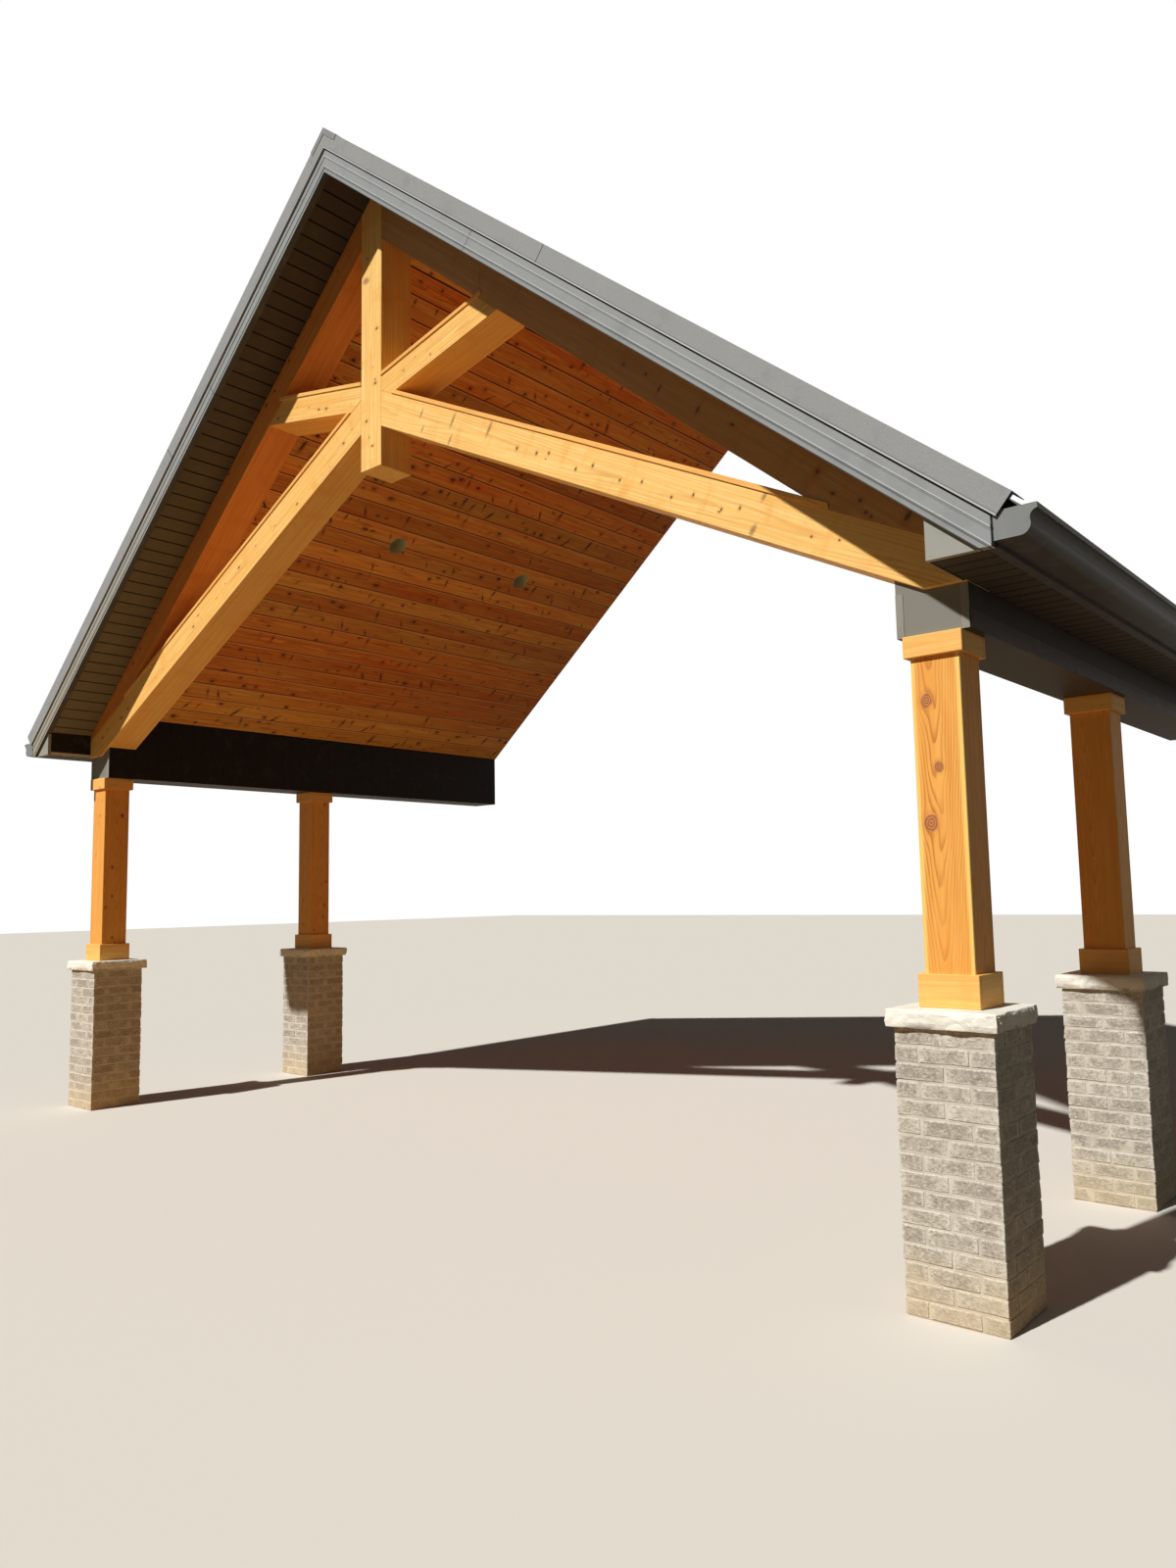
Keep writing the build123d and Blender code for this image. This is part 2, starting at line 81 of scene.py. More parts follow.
# Places read from the frame
post_lo, post_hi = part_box("post_front_right")
king_lo, king_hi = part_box("king_post")
beam_lo, beam_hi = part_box("side_beam_right")
fascia_lo, fascia_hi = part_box("rake_fascia_right")
eave_lo, eave_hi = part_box("boxed_eave_right")
ceiling_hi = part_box("ceiling_right")[1]
pitch_slope = 10 / 12
cos_pitch = 1 / math.hypot(1, pitch_slope)
sin_pitch = pitch_slope * cos_pitch
peak = ceiling_hi.z - ceiling_thickness / cos_pitch
y_truss_front, y_truss_back, y_back = king_lo.y, king_hi.y, ceiling_hi.y
y_posts = (post_lo.y + post_hi.y) / 2
y_fascia = fascia_lo.y + fascia_rib_depth
y_soffit = y_fascia + fascia_thickness
z_soffit = eave_lo.z
x_king, x_beam_in, x_beam_out, x_eave_face = king_hi.x, beam_lo.x, beam_hi.x, fascia_hi.x


def roof_line(layer):
    """The right slope at a layer, measured square to it from the ceiling: height at the centre line, and slope."""
    return (peak + layer / cos_pitch, -pitch_slope)


def point_on(height_and_slope, x):
    """The point of a line at x, as X and Z."""
    height, slope = height_and_slope
    return (x, height + slope * x)


def crossing(first, second):
    """Where two lines meet, as X and Z."""
    return point_on(first, (second[0] - first[0]) / (first[1] - second[1]))


def on_slope(side, along, y, layer):
    """Points on one slope: along from the centre line down it, and layer square to it."""
    return np.stack([side * (along * cos_pitch + layer * sin_pitch), y + 0 * along,
                     peak - along * sin_pitch + layer * cos_pitch], -1)


def paint(*levels):
    """The linear colour of display values from 0 to 255."""
    shares = [level / 255 for level in levels]
    return (*[share / 12.92 if share <= 0.04045 else ((share + 0.055) / 1.055) ** 2.4 for share in shares], 1.0)


# Shader maths written as plain arithmetic
def operator(operation, swapped=False):
    """A method of a wire for one Math operation; swapped puts the wire second."""
    def method(wire, *others):
        inputs = (*others, wire) if swapped else (wire, *others)
        return wire.finish.node("Math", {"operation": operation}, inputs)
    return method


class Wire:
    """One shader socket. Arithmetic on it adds the Math nodes it needs."""

    def __init__(self, finish, socket):
        self.finish = finish
        self.socket = socket

    __add__, __radd__ = operator("ADD"), operator("ADD", True)
    __sub__, __rsub__ = operator("SUBTRACT"), operator("SUBTRACT", True)
    __mul__, __rmul__ = operator("MULTIPLY"), operator("MULTIPLY", True)
    __truediv__, __pow__, __abs__ = operator("DIVIDE"), operator("POWER"), operator("ABSOLUTE")
    root, part, whole = operator("SQRT"), operator("FRACT"), operator("FLOOR")
    least, most = operator("MINIMUM"), operator("MAXIMUM")

    def ramp(self, start, end):
        """0 before start, 1 past end, and a smooth rise between."""
        settings = {"interpolation_type": "SMOOTHSTEP", "clamp": True}
        return self.finish.node("MapRange", settings, [self, start, end, 0.0, 1.0])

    def stretched(self, factors):
        return self.finish.node("VectorMath", {"operation": "MULTIPLY"}, [self, factors])


class Finish:
    """The nodes of one material, or of the sky."""

    def __init__(self, name, library=bpy.data.materials):
        self.owner = library.new(name)
        self.owner.use_nodes = True
        self.tree = self.owner.node_tree
        self.tree.nodes.clear()

    def node(self, kind, settings=(), sockets=(), output=0):
        """Any node: its settings first, then its sockets by place or by name."""
        made = self.tree.nodes.new(f"ShaderNode{kind}")
        for key, value in dict(settings).items():
            setattr(made, key, value)
        numbered = sockets.items() if isinstance(sockets, dict) else enumerate(sockets)
        for key, value in numbered:
            if isinstance(value, Wire):
                self.tree.links.new(value.socket, made.inputs[key])
            else:
                made.inputs[key].default_value = value
        return Wire(self, made.outputs[output] if made.outputs else None)

    def position(self):
        return self.node("NewGeometry")

    def facing(self):
        return self.node("NewGeometry", output="True Normal")

    def stored(self, name, output):
        return self.node("Attribute", {"attribute_name": name}, output=output)

    def axes(self, vector):
        split = self.node("SeparateXYZ", (), [vector])
        return [Wire(self, socket) for socket in split.socket.node.outputs]

    def joined(self, x, y, z):
        return self.node("CombineXYZ", (), [x, y, z])

    def seen(self):
        """1 for rays that look at a surface or see it mirrored, 0 for the light that it gives back."""
        rays = [self.node("LightPath", output=f"Is {kind} Ray")
                for kind in ("Camera", "Glossy", "Transmission")]
        return rays[0].most(rays[1]).most(rays[2])

    def fall(self, value):
        """1 at 0, fading to 0 as value grows."""
        return self.node("Math", {"operation": "EXPONENT"}, [value * -1])

    def noise(self, vector, scale, detail=2.0, roughness=0.5):
        """Noise with one scale, or one for each axis."""
        if isinstance(scale, tuple):
            vector, scale = vector.stretched(scale), 1.0
        sockets = {"Vector": vector, "Scale": scale, "Detail": detail, "Roughness": roughness}
        return self.node("TexNoise", (), sockets)

    def mix(self, factor, first, second):
        """A colour between two colours, each a wire or display values."""
        first, second = [colour if isinstance(colour, Wire) else paint(*colour) for colour in (first, second)]
        return self.node("Mix", {"data_type": "RGBA"}, {0: factor, 6: first, 7: second}, 2)

    def coated(self, colour, *coats):
        """A colour with others laid over it, each coat a share and a colour."""
        for share, over in coats:
            colour = self.mix(share, colour, over)
        return colour

    def surface(self, colour, roughness, gloss, height=None, bump=0.0):
        """Closes the material: its surface, and a bump of that many metres where height goes from 0 to 1."""
        sockets = {"Base Color": colour, "Roughness": roughness, "Specular IOR Level": gloss}
        if height is not None:
            sockets["Normal"] = self.node("Bump", (), {"Distance": bump, "Height": height})
        shader = self.node("BsdfPrincipled", (), sockets)
        self.node("OutputMaterial", (), {"Surface": shader})
        return self.owner


def oval(run, rise, half_run, half_rise):
    """How far a point lies from the middle of an oval: 1 on its edge."""
    return ((run / half_run) ** 2 + (rise / half_rise) ** 2).root()


def line(value, place, width):
    """1 within half a width of a place and 0 away from it, with soft edges."""
    return 1 - abs(value - place).ramp(width * 0.35, width * 0.65)


# Wood
def scattered_knots(wood, along, across, tone, ragged, knots, lack, spikes):
    """One knot in each step along a board, at a random place across it; some steps have none."""
    step_length, span, size = knots
    step = along / step_length
    seed = wood.joined(step.whole(), tone * 97, 0.0)
    dice = wood.node("TexWhiteNoise", {"noise_dimensions": "3D"}, {"Vector": seed}, "Color")
    first, second, third = wood.axes(dice)
    run = (step.part() - first * 0.4 - 0.3) * step_length
    rise = across - (second - 0.5) * span
    radius = (third - lack - (tone * 23.3).part() * 0.2).most(0.0) * (size / (1 - lack)) + 0.0002
    there = radius.ramp(0.001, 0.003)
    spike = 1 - (first * 9.7).part().ramp(spikes, spikes + 0.01)
    slant = run - rise * (second - 0.2) * 1.2 * spike
    near = (slant * slant * (0.55 + spike * 1.3) + rise * rise * (1 - spike * 0.88)).root() / radius
    worn = near * (0.55 + ragged * 0.9)
    knot = (1 - worn.ramp(0.75, 1.15)) * there
    halo = (1 - near.ramp(0.8, 3.6)) * there
    flow = across - rise * there * wood.fall((run * run * 0.14 + rise * rise) / (radius * radius) * 0.22)
    tail = (run * run * 0.02 + rise * rise).root() / radius
    wisp = (1 - tail.ramp(0.3, 1.2)) * there * (1 - abs(run).ramp(0.0, 0.3 * step_length))
    return knot, halo, wisp, flow, worn * 3.2


def cedar(name, colours, ring_pitch, taper, knots, lack=0.3, rings=0.3, spread=0.0, figure=0.0, spikes=0.0,
          round_knots=(), dots=(), scars=(), sapwood=0.0, groove=None,
          knot_colours=((66, 30, 12), (132, 72, 36))):
    """Knotty cedar. Grain is a solid field in each board's own space: along it, across it and into it."""
    pale, mid, dark = colours
    wood = Finish(name)
    grain = wood.stored("grain", "Vector")
    tone = wood.stored("tone", "Fac")
    along, across, deep = wood.axes(grain)
    ragged = wood.noise(grain, (50, 150, 150), 3.0)
    scatter = scattered_knots(wood, along, across, tone, ragged, knots, lack, spikes)
    knot, halo, wisp, flow, knot_rings = scatter

    for at, up, half_run, half_rise in round_knots:
        run, rise = along - at, across - up
        near = oval(run, rise, half_run, half_rise)
        crooked = wood.noise(grain, (28, 40, 40), 2.0)
        worn = near * (0.62 + ragged * 0.2 + crooked * 0.56)
        knot = knot.most((1 - worn.ramp(0.90, 1.06)) * 0.85)
        halo = halo.most((1 - near.ramp(0.9, 2.0)) * 0.5)
        flow = flow - rise * wood.fall((run / (half_run * 2.6)) ** 2 + (rise / (half_rise * 1.5)) ** 2)
        knot_rings = knot_rings.least(worn * 2.9 + 0.1)
    for at, up, *halves in dots:
        near = oval(along - at, across - up, *halves) * (0.7 + ragged * 0.6)
        knot = knot.most((1 - near.ramp(0.6, 1.15)) * 0.85)
        halo = halo.most((1 - near.ramp(1.0, 2.8)) * 0.7)

    # Growth rings round a heart that lies beside the board and sways along it
    sway = (wood.noise(wood.joined(along * 1.3, tone * 40, 0.0), 1.0, 1.0) - 0.5) * 0.06
    side = flow - ((tone * 17.3).part() - 0.5) * 0.06 - sway
    heart = (tone * 31.7).part() * 0.035 + 0.016 + deep
    turn = (wood.noise(grain, (5, 60, 60), 3.0) - 0.5) * 0.5
    ring = (((side * side + heart * heart).root() + along * taper) / ring_pitch + turn).part()
    late = ring.ramp(0.42, 0.92) * (1 - ring.ramp(0.93, 1.0))
    fibre = wood.noise(grain, (9, 380, 380), 3.0, 0.65)
    streak = wood.noise(grain, (1.1, 40, 40), 4.0, 0.6)
    patch = wood.noise(grain, (1.6, 9, 9), 2.0, 0.5)

    ground = wood.mix(streak.ramp(0.32, 0.66) * 0.6 + tone * 0.4, pale, mid)
    if figure:
        flame = wood.noise(grain, (8, 3.0, 3.0), 3.0, 0.6)
        ground = wood.mix(flame.ramp(0.50, 0.72) * figure, ground, mid)
    if spread:
        ground = wood.mix((tone * 57.1).part() * spread, ground, dark)
    if sapwood:
        outer = (abs(across) + (patch - 0.5) * 0.02 - sapwood).ramp(0.0, 0.014)
        ground = wood.mix(outer * 0.8, ground, (252, 214, 120))
        late = late * (1 - outer * 0.7)
    ring_stain = late * (0.25 + patch.ramp(0.3, 0.7) * 0.75) * rings
    ringed = wood.mix(ring_stain + fibre.ramp(0.45, 0.75) * 0.14, ground, dark)
    stained = wood.mix((halo * 0.35).most(wisp * 0.6), ringed, dark)
    for at, up, *halves in scars:
        lean = along - at - (across - up) * 0.12
        reach = oval(lean, across - up, *halves) * (0.6 + ragged * 0.8)
        stained = wood.mix((1 - reach.ramp(0.2, 1.5)) * 0.75, stained, (134, 96, 70))
    if groove:
        # Painted shade in the groove along one edge of each board, and a painted highlight on the lip along the
        # other.
        shaded = (across - groove).ramp(-0.012, -0.007)
        painted_lip_highlight = (0 - across - groove).ramp(-0.012, -0.007)
        with_lip_highlight = wood.mix(painted_lip_highlight * 0.7, stained, (255, 190, 128))
        stained = wood.mix(shaded * 0.95, with_lip_highlight, knot_colours[0])
    knot_face = wood.mix(knot_rings.part().ramp(0.35, 0.8) * 0.7, *knot_colours)
    height = late * 0.35 + fibre * 0.5 - knot * 0.4
    rough = 0.52 + fibre * 0.16 - knot * 0.1
    return wood.surface(wood.mix(knot, stained, knot_face), rough, 0.16, height, 0.0005)


def lumber(name, pale, dark):
    """Plain sawn wood of the framing, which shows at the wall end."""
    wood = Finish(name)
    streak = wood.noise(wood.position(), (3, 60, 60), 4.0, 0.6)
    return wood.surface(wood.mix(streak.ramp(0.3, 0.7), pale, dark), 0.75, 0.5, streak, 0.0008)


# Metal
def painted_metal(sheet, colour, roughness=0.45, waviness=0.0006, bumps=0.0, dusty=0.10):
    """Factory-painted sheet: nearly even colour, faint waves and a little dust."""
    sheet = sheet if isinstance(sheet, Finish) else Finish(sheet)
    place = sheet.position()
    wave = sheet.noise(place.stretched((1.0, 1.0, 1.6)), 2.2, 1.0)
    dust = sheet.noise(place, 7.0, 5.0, 0.6)
    worn = sheet.coated(
        colour, (dust.ramp(0.50, 0.74) * dusty, (176, 170, 158)), (dust.ramp(0.48, 0.30) * dusty, (38, 36, 33)))
    return sheet.surface(worn, roughness + dust * 0.14, 0.06, wave + bumps, waviness)


def slope_axes(finish):
    """Distance down the slope from the centre line, height square to it, and X, for any point of the roof."""
    x, y, z = finish.axes(finish.position())
    drop = z - peak
    return abs(x) * cos_pitch - drop * sin_pitch, abs(x) * sin_pitch + drop * cos_pitch, x


def make_fascia_metal():
    """Ribbed sheet: a painted highlight along each rib and a painted shadow under it, both fainter on the left
    slope. Painted shade also lies along the hem, along the bottom edge, just below the trim and at the eave end.
    """
    sheet = Finish("fascia_metal")
    along, layer, x = slope_axes(sheet)
    rib_highlight, gap, deep_shadow = (216, 218, 216), (44, 46, 48), (24, 24, 25)
    rib_light_strength = 1 - (0 - x).ramp(0.0, 0.4) * 0.55
    ground = sheet.mix((0 - x).ramp(1.2, 3.6) * 0.6, (150, 152, 150), (164, 152, 128))
    ribs = []
    for height, depth in fascia_ribs:
        ribs += [(line(layer, fascia_bottom + height - 0.007, 0.007) * rib_light_strength * depth, gap),
                 (line(layer, fascia_bottom + height, 0.006) * rib_light_strength * 0.8, rib_highlight)]
    # Painted light: the light rib lines are painted highlights, and every dark line except the joint is painted
    # shade.
    colour = sheet.coated(
        ground, (line(along, fascia_joint, 0.004), gap), *ribs,
        (line(layer, fascia_bottom + fascia_hem, 0.004) * 0.15, gap),
        ((1 - (layer - fascia_bottom).ramp(0.003, 0.005)) * 0.8, gap),
        ((layer - trim_bottom).ramp(-0.007, -0.003), deep_shadow),
        ((abs(x) - x_eave_face).ramp(-0.011, -0.007), deep_shadow))
    return painted_metal(sheet, colour, 0.42)


def make_trim_metal():
    """Embossed sheet with a fine pebbled face, a painted highlight along the hem at its lower edge and a line of
    painted shade just above the hem.
    """
    sheet = Finish("rake_trim_metal")
    along, layer, x = slope_axes(sheet)
    pebble = sheet.noise(sheet.position(), 420.0, 3.0, 0.65)
    ground = sheet.mix(pebble.ramp(0.35, 0.68), (138, 139, 137), (164, 164, 161))
    colour = sheet.coated(
        ground, (line(along, trim_joint, 0.005), (40, 41, 42)),
        # Painted highlight on the hem, then a line of painted shade above it.
        (line(layer, trim_bottom + 0.003, 0.005) * 0.6, (212, 213, 211)),
        (line(layer, trim_bottom + 0.009, 0.004) * 0.4, (60, 60, 60)))
    return painted_metal(sheet, colour, 0.5, 0.0008, pebble)


def make_beam_cladding():
    """Dark bronze sheets with upright seams, a grey plate on the front end, and the timber core at the back."""
    sheet = Finish("beam_cladding")
    x, y, z = sheet.axes(sheet.position())
    nx, ny, nz = sheet.axes(sheet.facing())
    bronze = sheet.mix(sheet.noise(sheet.position(), 5.0, 3.0), (28, 22, 16), (35, 28, 21))
    seam = line((y / soffit_board).part(), 0.5, 0.05) * (0 - nx * x).ramp(0.3, 0.8)
    front = 1 - (y - beam_lo.y).ramp(0.001, 0.003)
    depth_in = (abs(x) - x_beam_in).least(x_beam_out - abs(x)).least(z - beam_lo.z)
    core = ny.ramp(0.5, 0.8) * depth_in.ramp(0.012, 0.014)
    layers = sheet.mix(line((z / beam_layer).part(), 0.5, 0.08) * 0.7, (206, 168, 116), (110, 76, 44))
    # Faces that look down are painted a lighter brown: painted bounce light under the beam.
    colour = sheet.coated(
        bronze, (seam * 0.8, (20, 16, 13)), ((0 - nz).ramp(0.5, 0.8), (66, 54, 36)), (front, (131, 129, 118)),
        (core, layers))
    return painted_metal(sheet, colour, 0.5, bumps=(1 - seam) * 2, dusty=0.03)


def make_soffit_metal(name, under_rake):
    """Bronze soffit with painted shade in the grooves between its panels. Under the rake it is painted darker near
    the ridge and paler toward the eave, painted shade giving way to painted light; the eave soffit is painted one
    darker colour, as painted shade.
    """
    sheet = Finish(name)
    x, y, z = sheet.axes(sheet.position())
    # Painted shade near the ridge, paling to painted light toward the eave; under the eave a darker colour as
    # painted shade.
    if under_rake:
        turns = abs(x) / (cos_pitch * soffit_board)
        shade = sheet.mix(abs(x).ramp(0.3, 3.8), (76, 68, 62), (120, 112, 90))
    else:
        turns = (y - y_soffit) / soffit_board
        shade = (62, 52, 38)
    # Painted shade in the groove between panels.
    groove = line((turns + 0.5).part(), 0.5, 0.10)
    colour = sheet.mix(groove * 0.85, shade, (16, 12, 9))
    return painted_metal(sheet, colour, 0.55, dusty=0.05)


def make_gutter_metal():
    """Painted light and shade: the end caps, which face the sun, are painted lighter, and the rest of the gutter is
    painted darker as painted shade.
    """
    sheet = Finish("gutter_metal")
    end = (0 - sheet.axes(sheet.facing())[1]).ramp(0.4, 0.8)
    # Faces that look to the front are painted light; the others are painted shade.
    colour = sheet.mix(end, (60, 57, 50), (130, 132, 130))
    return painted_metal(sheet, colour, 0.42)


# Brick, mortar and stone
def splashed(finish, place, colour):
    """Tan soil washed up the foot of a pier."""
    height = finish.axes(place)[2]
    edge = finish.noise(place, (7, 7, 3), 4.0, 0.6)
    soil = 1 - (height + edge * 0.24 - 0.11).ramp(0.0, 0.34)
    return finish.mix(soil * 0.42, colour, (220, 198, 152))


def make_brick():
    """Grey brown brick: a smudged heart to each face, lime dragged over its edges, and fine flecks."""
    brick = Finish("brick_grey_brown")
    place = brick.position()
    tone = brick.stored("tone", "Fac")
    local = brick.axes(brick.stored("grain", "Vector"))
    a, b, c = [abs(value) / size for value, size in zip(local, brick_half)]
    edge = a.least(b).most(a.most(b).least(c))
    drag = brick.noise(place, (26, 26, 60), 5.0, 0.65)
    blotch = brick.noise(place, (12, 12, 24), 3.0, 0.6)
    mottle = brick.noise(place, (70, 70, 110), 4.0, 0.7)
    fleck = brick.noise(place, 210.0, 3.0, 0.75)
    heart = (1 - edge.ramp(0.55, 1.0)) * (0.35 + blotch.ramp(0.35, 0.62) * 0.65)
    smear = edge.ramp(0.70, 0.98) * drag.ramp(0.40, 0.56)
    ground = brick.mix(tone, (180, 172, 156), (212, 204, 188))
    colour = brick.coated(
        ground, (heart * (0.30 + (tone * 7.7).part() * 0.5), (150, 141, 126)),
        (drag.ramp(0.50, 0.66) * 0.35, (140, 131, 117)), (smear * 0.7, (222, 216, 202)),
        (mottle.ramp(0.52, 0.62) * 0.5, (120, 113, 101)), (mottle.ramp(0.47, 0.38) * 0.5, (226, 220, 206)),
        (fleck.ramp(0.57, 0.67) * 0.6, (96, 89, 78)), (fleck.ramp(0.42, 0.32) * 0.5, (234, 229, 216)))
    return brick.surface(splashed(brick, place, colour), 0.9, 0.2, fleck * 0.8 + drag, 0.0028)


def make_mortar():
    mortar = Finish("mortar_pale")
    place = mortar.position()
    sand = mortar.noise(place, 420.0, 3.0, 0.7)
    patch = mortar.noise(place, 13.0, 3.0)
    ground = mortar.mix(patch.ramp(0.3, 0.7), (190, 182, 165), (214, 206, 189))
    colour = mortar.mix(sand.ramp(0.55, 0.8) * 0.4, ground, (140, 130, 112))
    return mortar.surface(splashed(mortar, place, colour), 0.95, 0.2, sand + patch * 2, 0.0016)


def make_limestone():
    stone = Finish("limestone_split_face")
    place = stone.position()
    vein = stone.noise(place, (6, 6, 18), 6.0, 0.62)
    grit = stone.noise(place, 330.0, 3.0, 0.7)
    chip = stone.stored("chip", "Fac")
    ground = stone.mix(vein.ramp(0.32, 0.68), (228, 224, 210), (248, 245, 230))
    colour = stone.coated(
        ground, (chip * vein.ramp(0.44, 0.56) * 0.8, (140, 135, 122)), (grit.ramp(0.6, 0.8) * 0.22, (168, 160, 142)))
    return stone.surface(colour, 0.85, 0.2, vein * 0.6 + grit * 0.5, 0.0016)


# Marks seen on single pieces. Joints are down the slope, upright ones at X. Knots, dots and scars have a place
# and half their size each way: on posts along and across the board, on the rafter and the chord at X and Z.
fascia_joint, trim_joint, rafter_joint = 1.548, 2.152, 3.55
x_upright_joint = {"left": 2.30, "right": 0.997}
post_knots = ((2.370, -0.043, 0.030, 0.025), (2.100, -0.002, 0.022, 0.019), (1.879, -0.046, 0.037, 0.031))
king_scars = [(5.561, 0.054, 0.024, 0.035)]
king_dots = [(5.203, -0.057, 0.009, 0.013), (4.846, -0.043, 0.010, 0.013), (4.622, 0.044, 0.009, 0.012),
             (4.444, -0.015, 0.008, 0.012)]
rafter_dots = [
    (2.042, 4.285, 0.0107, 0.0082), (2.180, 4.189, 0.0103, 0.0081), (2.259, 4.086, 0.0075, 0.0224),
    (2.485, 3.909, 0.0088, 0.0193), (2.675, 3.777, 0.0168, 0.007), (3.104, 3.435, 0.0108, 0.014),
    (3.173, 3.318, 0.0134, 0.0086), (3.299, 3.255, 0.0101, 0.0093), (3.323, 3.198, 0.0082, 0.0076),
    (3.346, 3.173, 0.0072, 0.0067), (3.506, 3.136, 0.0129, 0.0245), (3.559, 2.967, 0.0189, 0.0121),
    (3.405, 2.992, 0.0088, 0.0091)]
chord_scars = [
    (0.484, 4.510, 0.008, 0.034), (0.761, 4.383, 0.011, 0.048), (1.063, 4.239, 0.012, 0.050),
    (0.735, 4.272, 0.009, 0.034), (0.492, 4.410, 0.007, 0.024), (2.834, 3.394, 0.012, 0.028),
    (2.767, 3.250, 0.016, 0.032)]
chord_dots = [
    (1.281, 4.064, 0.009, 0.012), (1.428, 3.995, 0.009, 0.011), (1.518, 3.969, 0.008, 0.011),
    (1.707, 3.830, 0.008, 0.011), (1.824, 3.816, 0.008, 0.011), (2.000, 3.691, 0.007, 0.010),
    (2.140, 3.646, 0.007, 0.010), (2.317, 3.521, 0.007, 0.010), (2.446, 3.500, 0.007, 0.010),
    (2.601, 3.389, 0.007, 0.009), (2.703, 3.371, 0.007, 0.010), (3.063, 3.152, 0.006, 0.007),
    (3.196, 3.107, 0.006, 0.006)]

# Truss lines on the right half
rafter_down, chord_down, strut_up = -math.atan(pitch_slope), -math.atan(chord_slope), math.atan(strut_slope)
chord_cos, strut_cos = math.cos(chord_down), math.cos(strut_up)
x_heel = x_beam_out - chord_bearing
chord_foot = (z_soffit + chord_slope * x_heel, -chord_slope)
chord_head = (chord_foot[0] + chord_depth / chord_cos, -chord_slope)
chord_cap = (chord_head[0] + cap_thickness / chord_cos, -chord_slope)
strut_foot = (chord_head[0] - (chord_slope + strut_slope) * strut_reach, strut_slope)
strut_head = (strut_foot[0] + strut_depth / strut_cos, strut_slope)
strut_cap = (strut_head[0] + cap_thickness / strut_cos, strut_slope)
rafter_foot, rafter_head = roof_line(-rafter_drop), roof_line(rafter_top)
rafter_middle = peak * cos_pitch + (rafter_top - rafter_drop) / 2
chord_middle = chord_head[0] * chord_cos - chord_depth / 2


def on_board(marks, angle, middle):
    """Marks at X and Z, given again along a board's grain and across it from its middle."""
    cos, sin = math.cos(angle), math.sin(angle)
    return [(x * cos + z * sin, z * cos - x * sin - middle, *halves) for x, z, *halves in marks]


truss_colours = ((251, 214, 134), (241, 178, 90), (176, 96, 38))
post_colours = ((243, 180, 92), (232, 154, 66), (158, 82, 28))
truss_grain = {"ring_pitch": 0.013, "taper": 0.02, "knots": (0.12, 0.09, 0.009), "lack": 0.25, "figure": 0.7}
post_grain = {"ring_pitch": 0.0095, "taper": -0.068, "knots": (0.40, 0.15, 0.012), "lack": 0.55, "rings": 0.34}
cedar_truss = cedar("cedar_truss", truss_colours, **truss_grain)
cedar_king = cedar(
    "cedar_king_post", truss_colours, dots=king_dots, scars=king_scars, **{**truss_grain, "lack": 0.55})
cedar_chord = cedar(
    "cedar_truss_scarred", truss_colours, dots=on_board(chord_dots, chord_down, chord_middle),
    scars=on_board(chord_scars, chord_down, chord_middle), **{**truss_grain, "lack": 0.6})
# The rafters take darker, greyer colours than the rest of the truss: partly weathered wood, partly painted shade, as
# they stand in the rake's shadow.
cedar_rafter = cedar("cedar_rafter", ((236, 160, 84), (210, 128, 58), (138, 74, 30)), rings=0.15, **truss_grain)
cedar_rafter_dots = cedar(
    "cedar_rafter_knots", ((206, 160, 104), (184, 132, 78), (122, 76, 40)), rings=0.15,
    dots=on_board(rafter_dots, rafter_down, rafter_middle), **{**truss_grain, "lack": 0.9})
cedar_post = cedar("cedar_post", post_colours, **post_grain)
cedar_knotty = cedar("cedar_post_knotty", post_colours, **{**post_grain, "knots": (0.11, 0.15, 0.012), "lack": 0.3})
cedar_post_knots = cedar(
    "cedar_post_three_knots", post_colours, ring_pitch=0.0105, taper=-0.073, knots=(0.40, 0.15, 0.012), lack=0.97,
    rings=0.6, round_knots=post_knots, sapwood=0.078, knot_colours=((150, 84, 52), (210, 148, 96)))
cedar_trim = cedar(
    "cedar_trim_boards", ((250, 198, 114), (238, 174, 90), (186, 116, 54)), ring_pitch=0.014, taper=0.03,
    knots=(0.30, 0.10, 0.007), rings=0.2, figure=0.4)
cedar_ceiling = cedar(
    "cedar_ceiling", ((255, 198, 102), (234, 118, 40), (84, 27, 9)), ring_pitch=0.012, taper=0.03,
    knots=(0.10, 0.12, 0.017), lack=0.25, rings=0.50, spread=0.42, spikes=0.4, groove=ceiling_board / 2,
    knot_colours=((52, 16, 8), (120, 56, 24)))
framing_wood = lumber("framing_lumber", (226, 196, 148), (196, 158, 106))
plywood = lumber("deck_plywood", (206, 172, 122), (150, 112, 68))
fascia_metal, trim_metal, beam_cladding = make_fascia_metal(), make_trim_metal(), make_beam_cladding()
gutter_metal = make_gutter_metal()
eave_soffit_metal = make_soffit_metal("soffit_metal", False)
rake_soffit_metal = make_soffit_metal("rake_soffit_metal", True)
# The eave fascia is painted much darker than the rake fascia: painted shade under the gutter.
shaded_eave_fascia_metal = painted_metal("shaded_eave_fascia_metal", (74, 71, 66))
roof_metal = painted_metal("roof_metal", (98, 99, 100), 0.42)
ridge_metal = painted_metal("eave_trim_metal", (138, 139, 138))
corner_metal = painted_metal("beam_metal", (146, 143, 131))
return_metal = painted_metal("eave_return_metal", (158, 157, 147))
# The foot strip is painted pale: painted bounce light caught from below.
strip_metal = painted_metal("eave_strip_metal", (214, 202, 174), 0.5)
bronze_metal = painted_metal("bronze_metal", (42, 34, 27))
can_metal = painted_metal("light_can_metal", (206, 208, 186))
brick_finish, mortar_finish, limestone = make_brick(), make_mortar(), make_limestone()


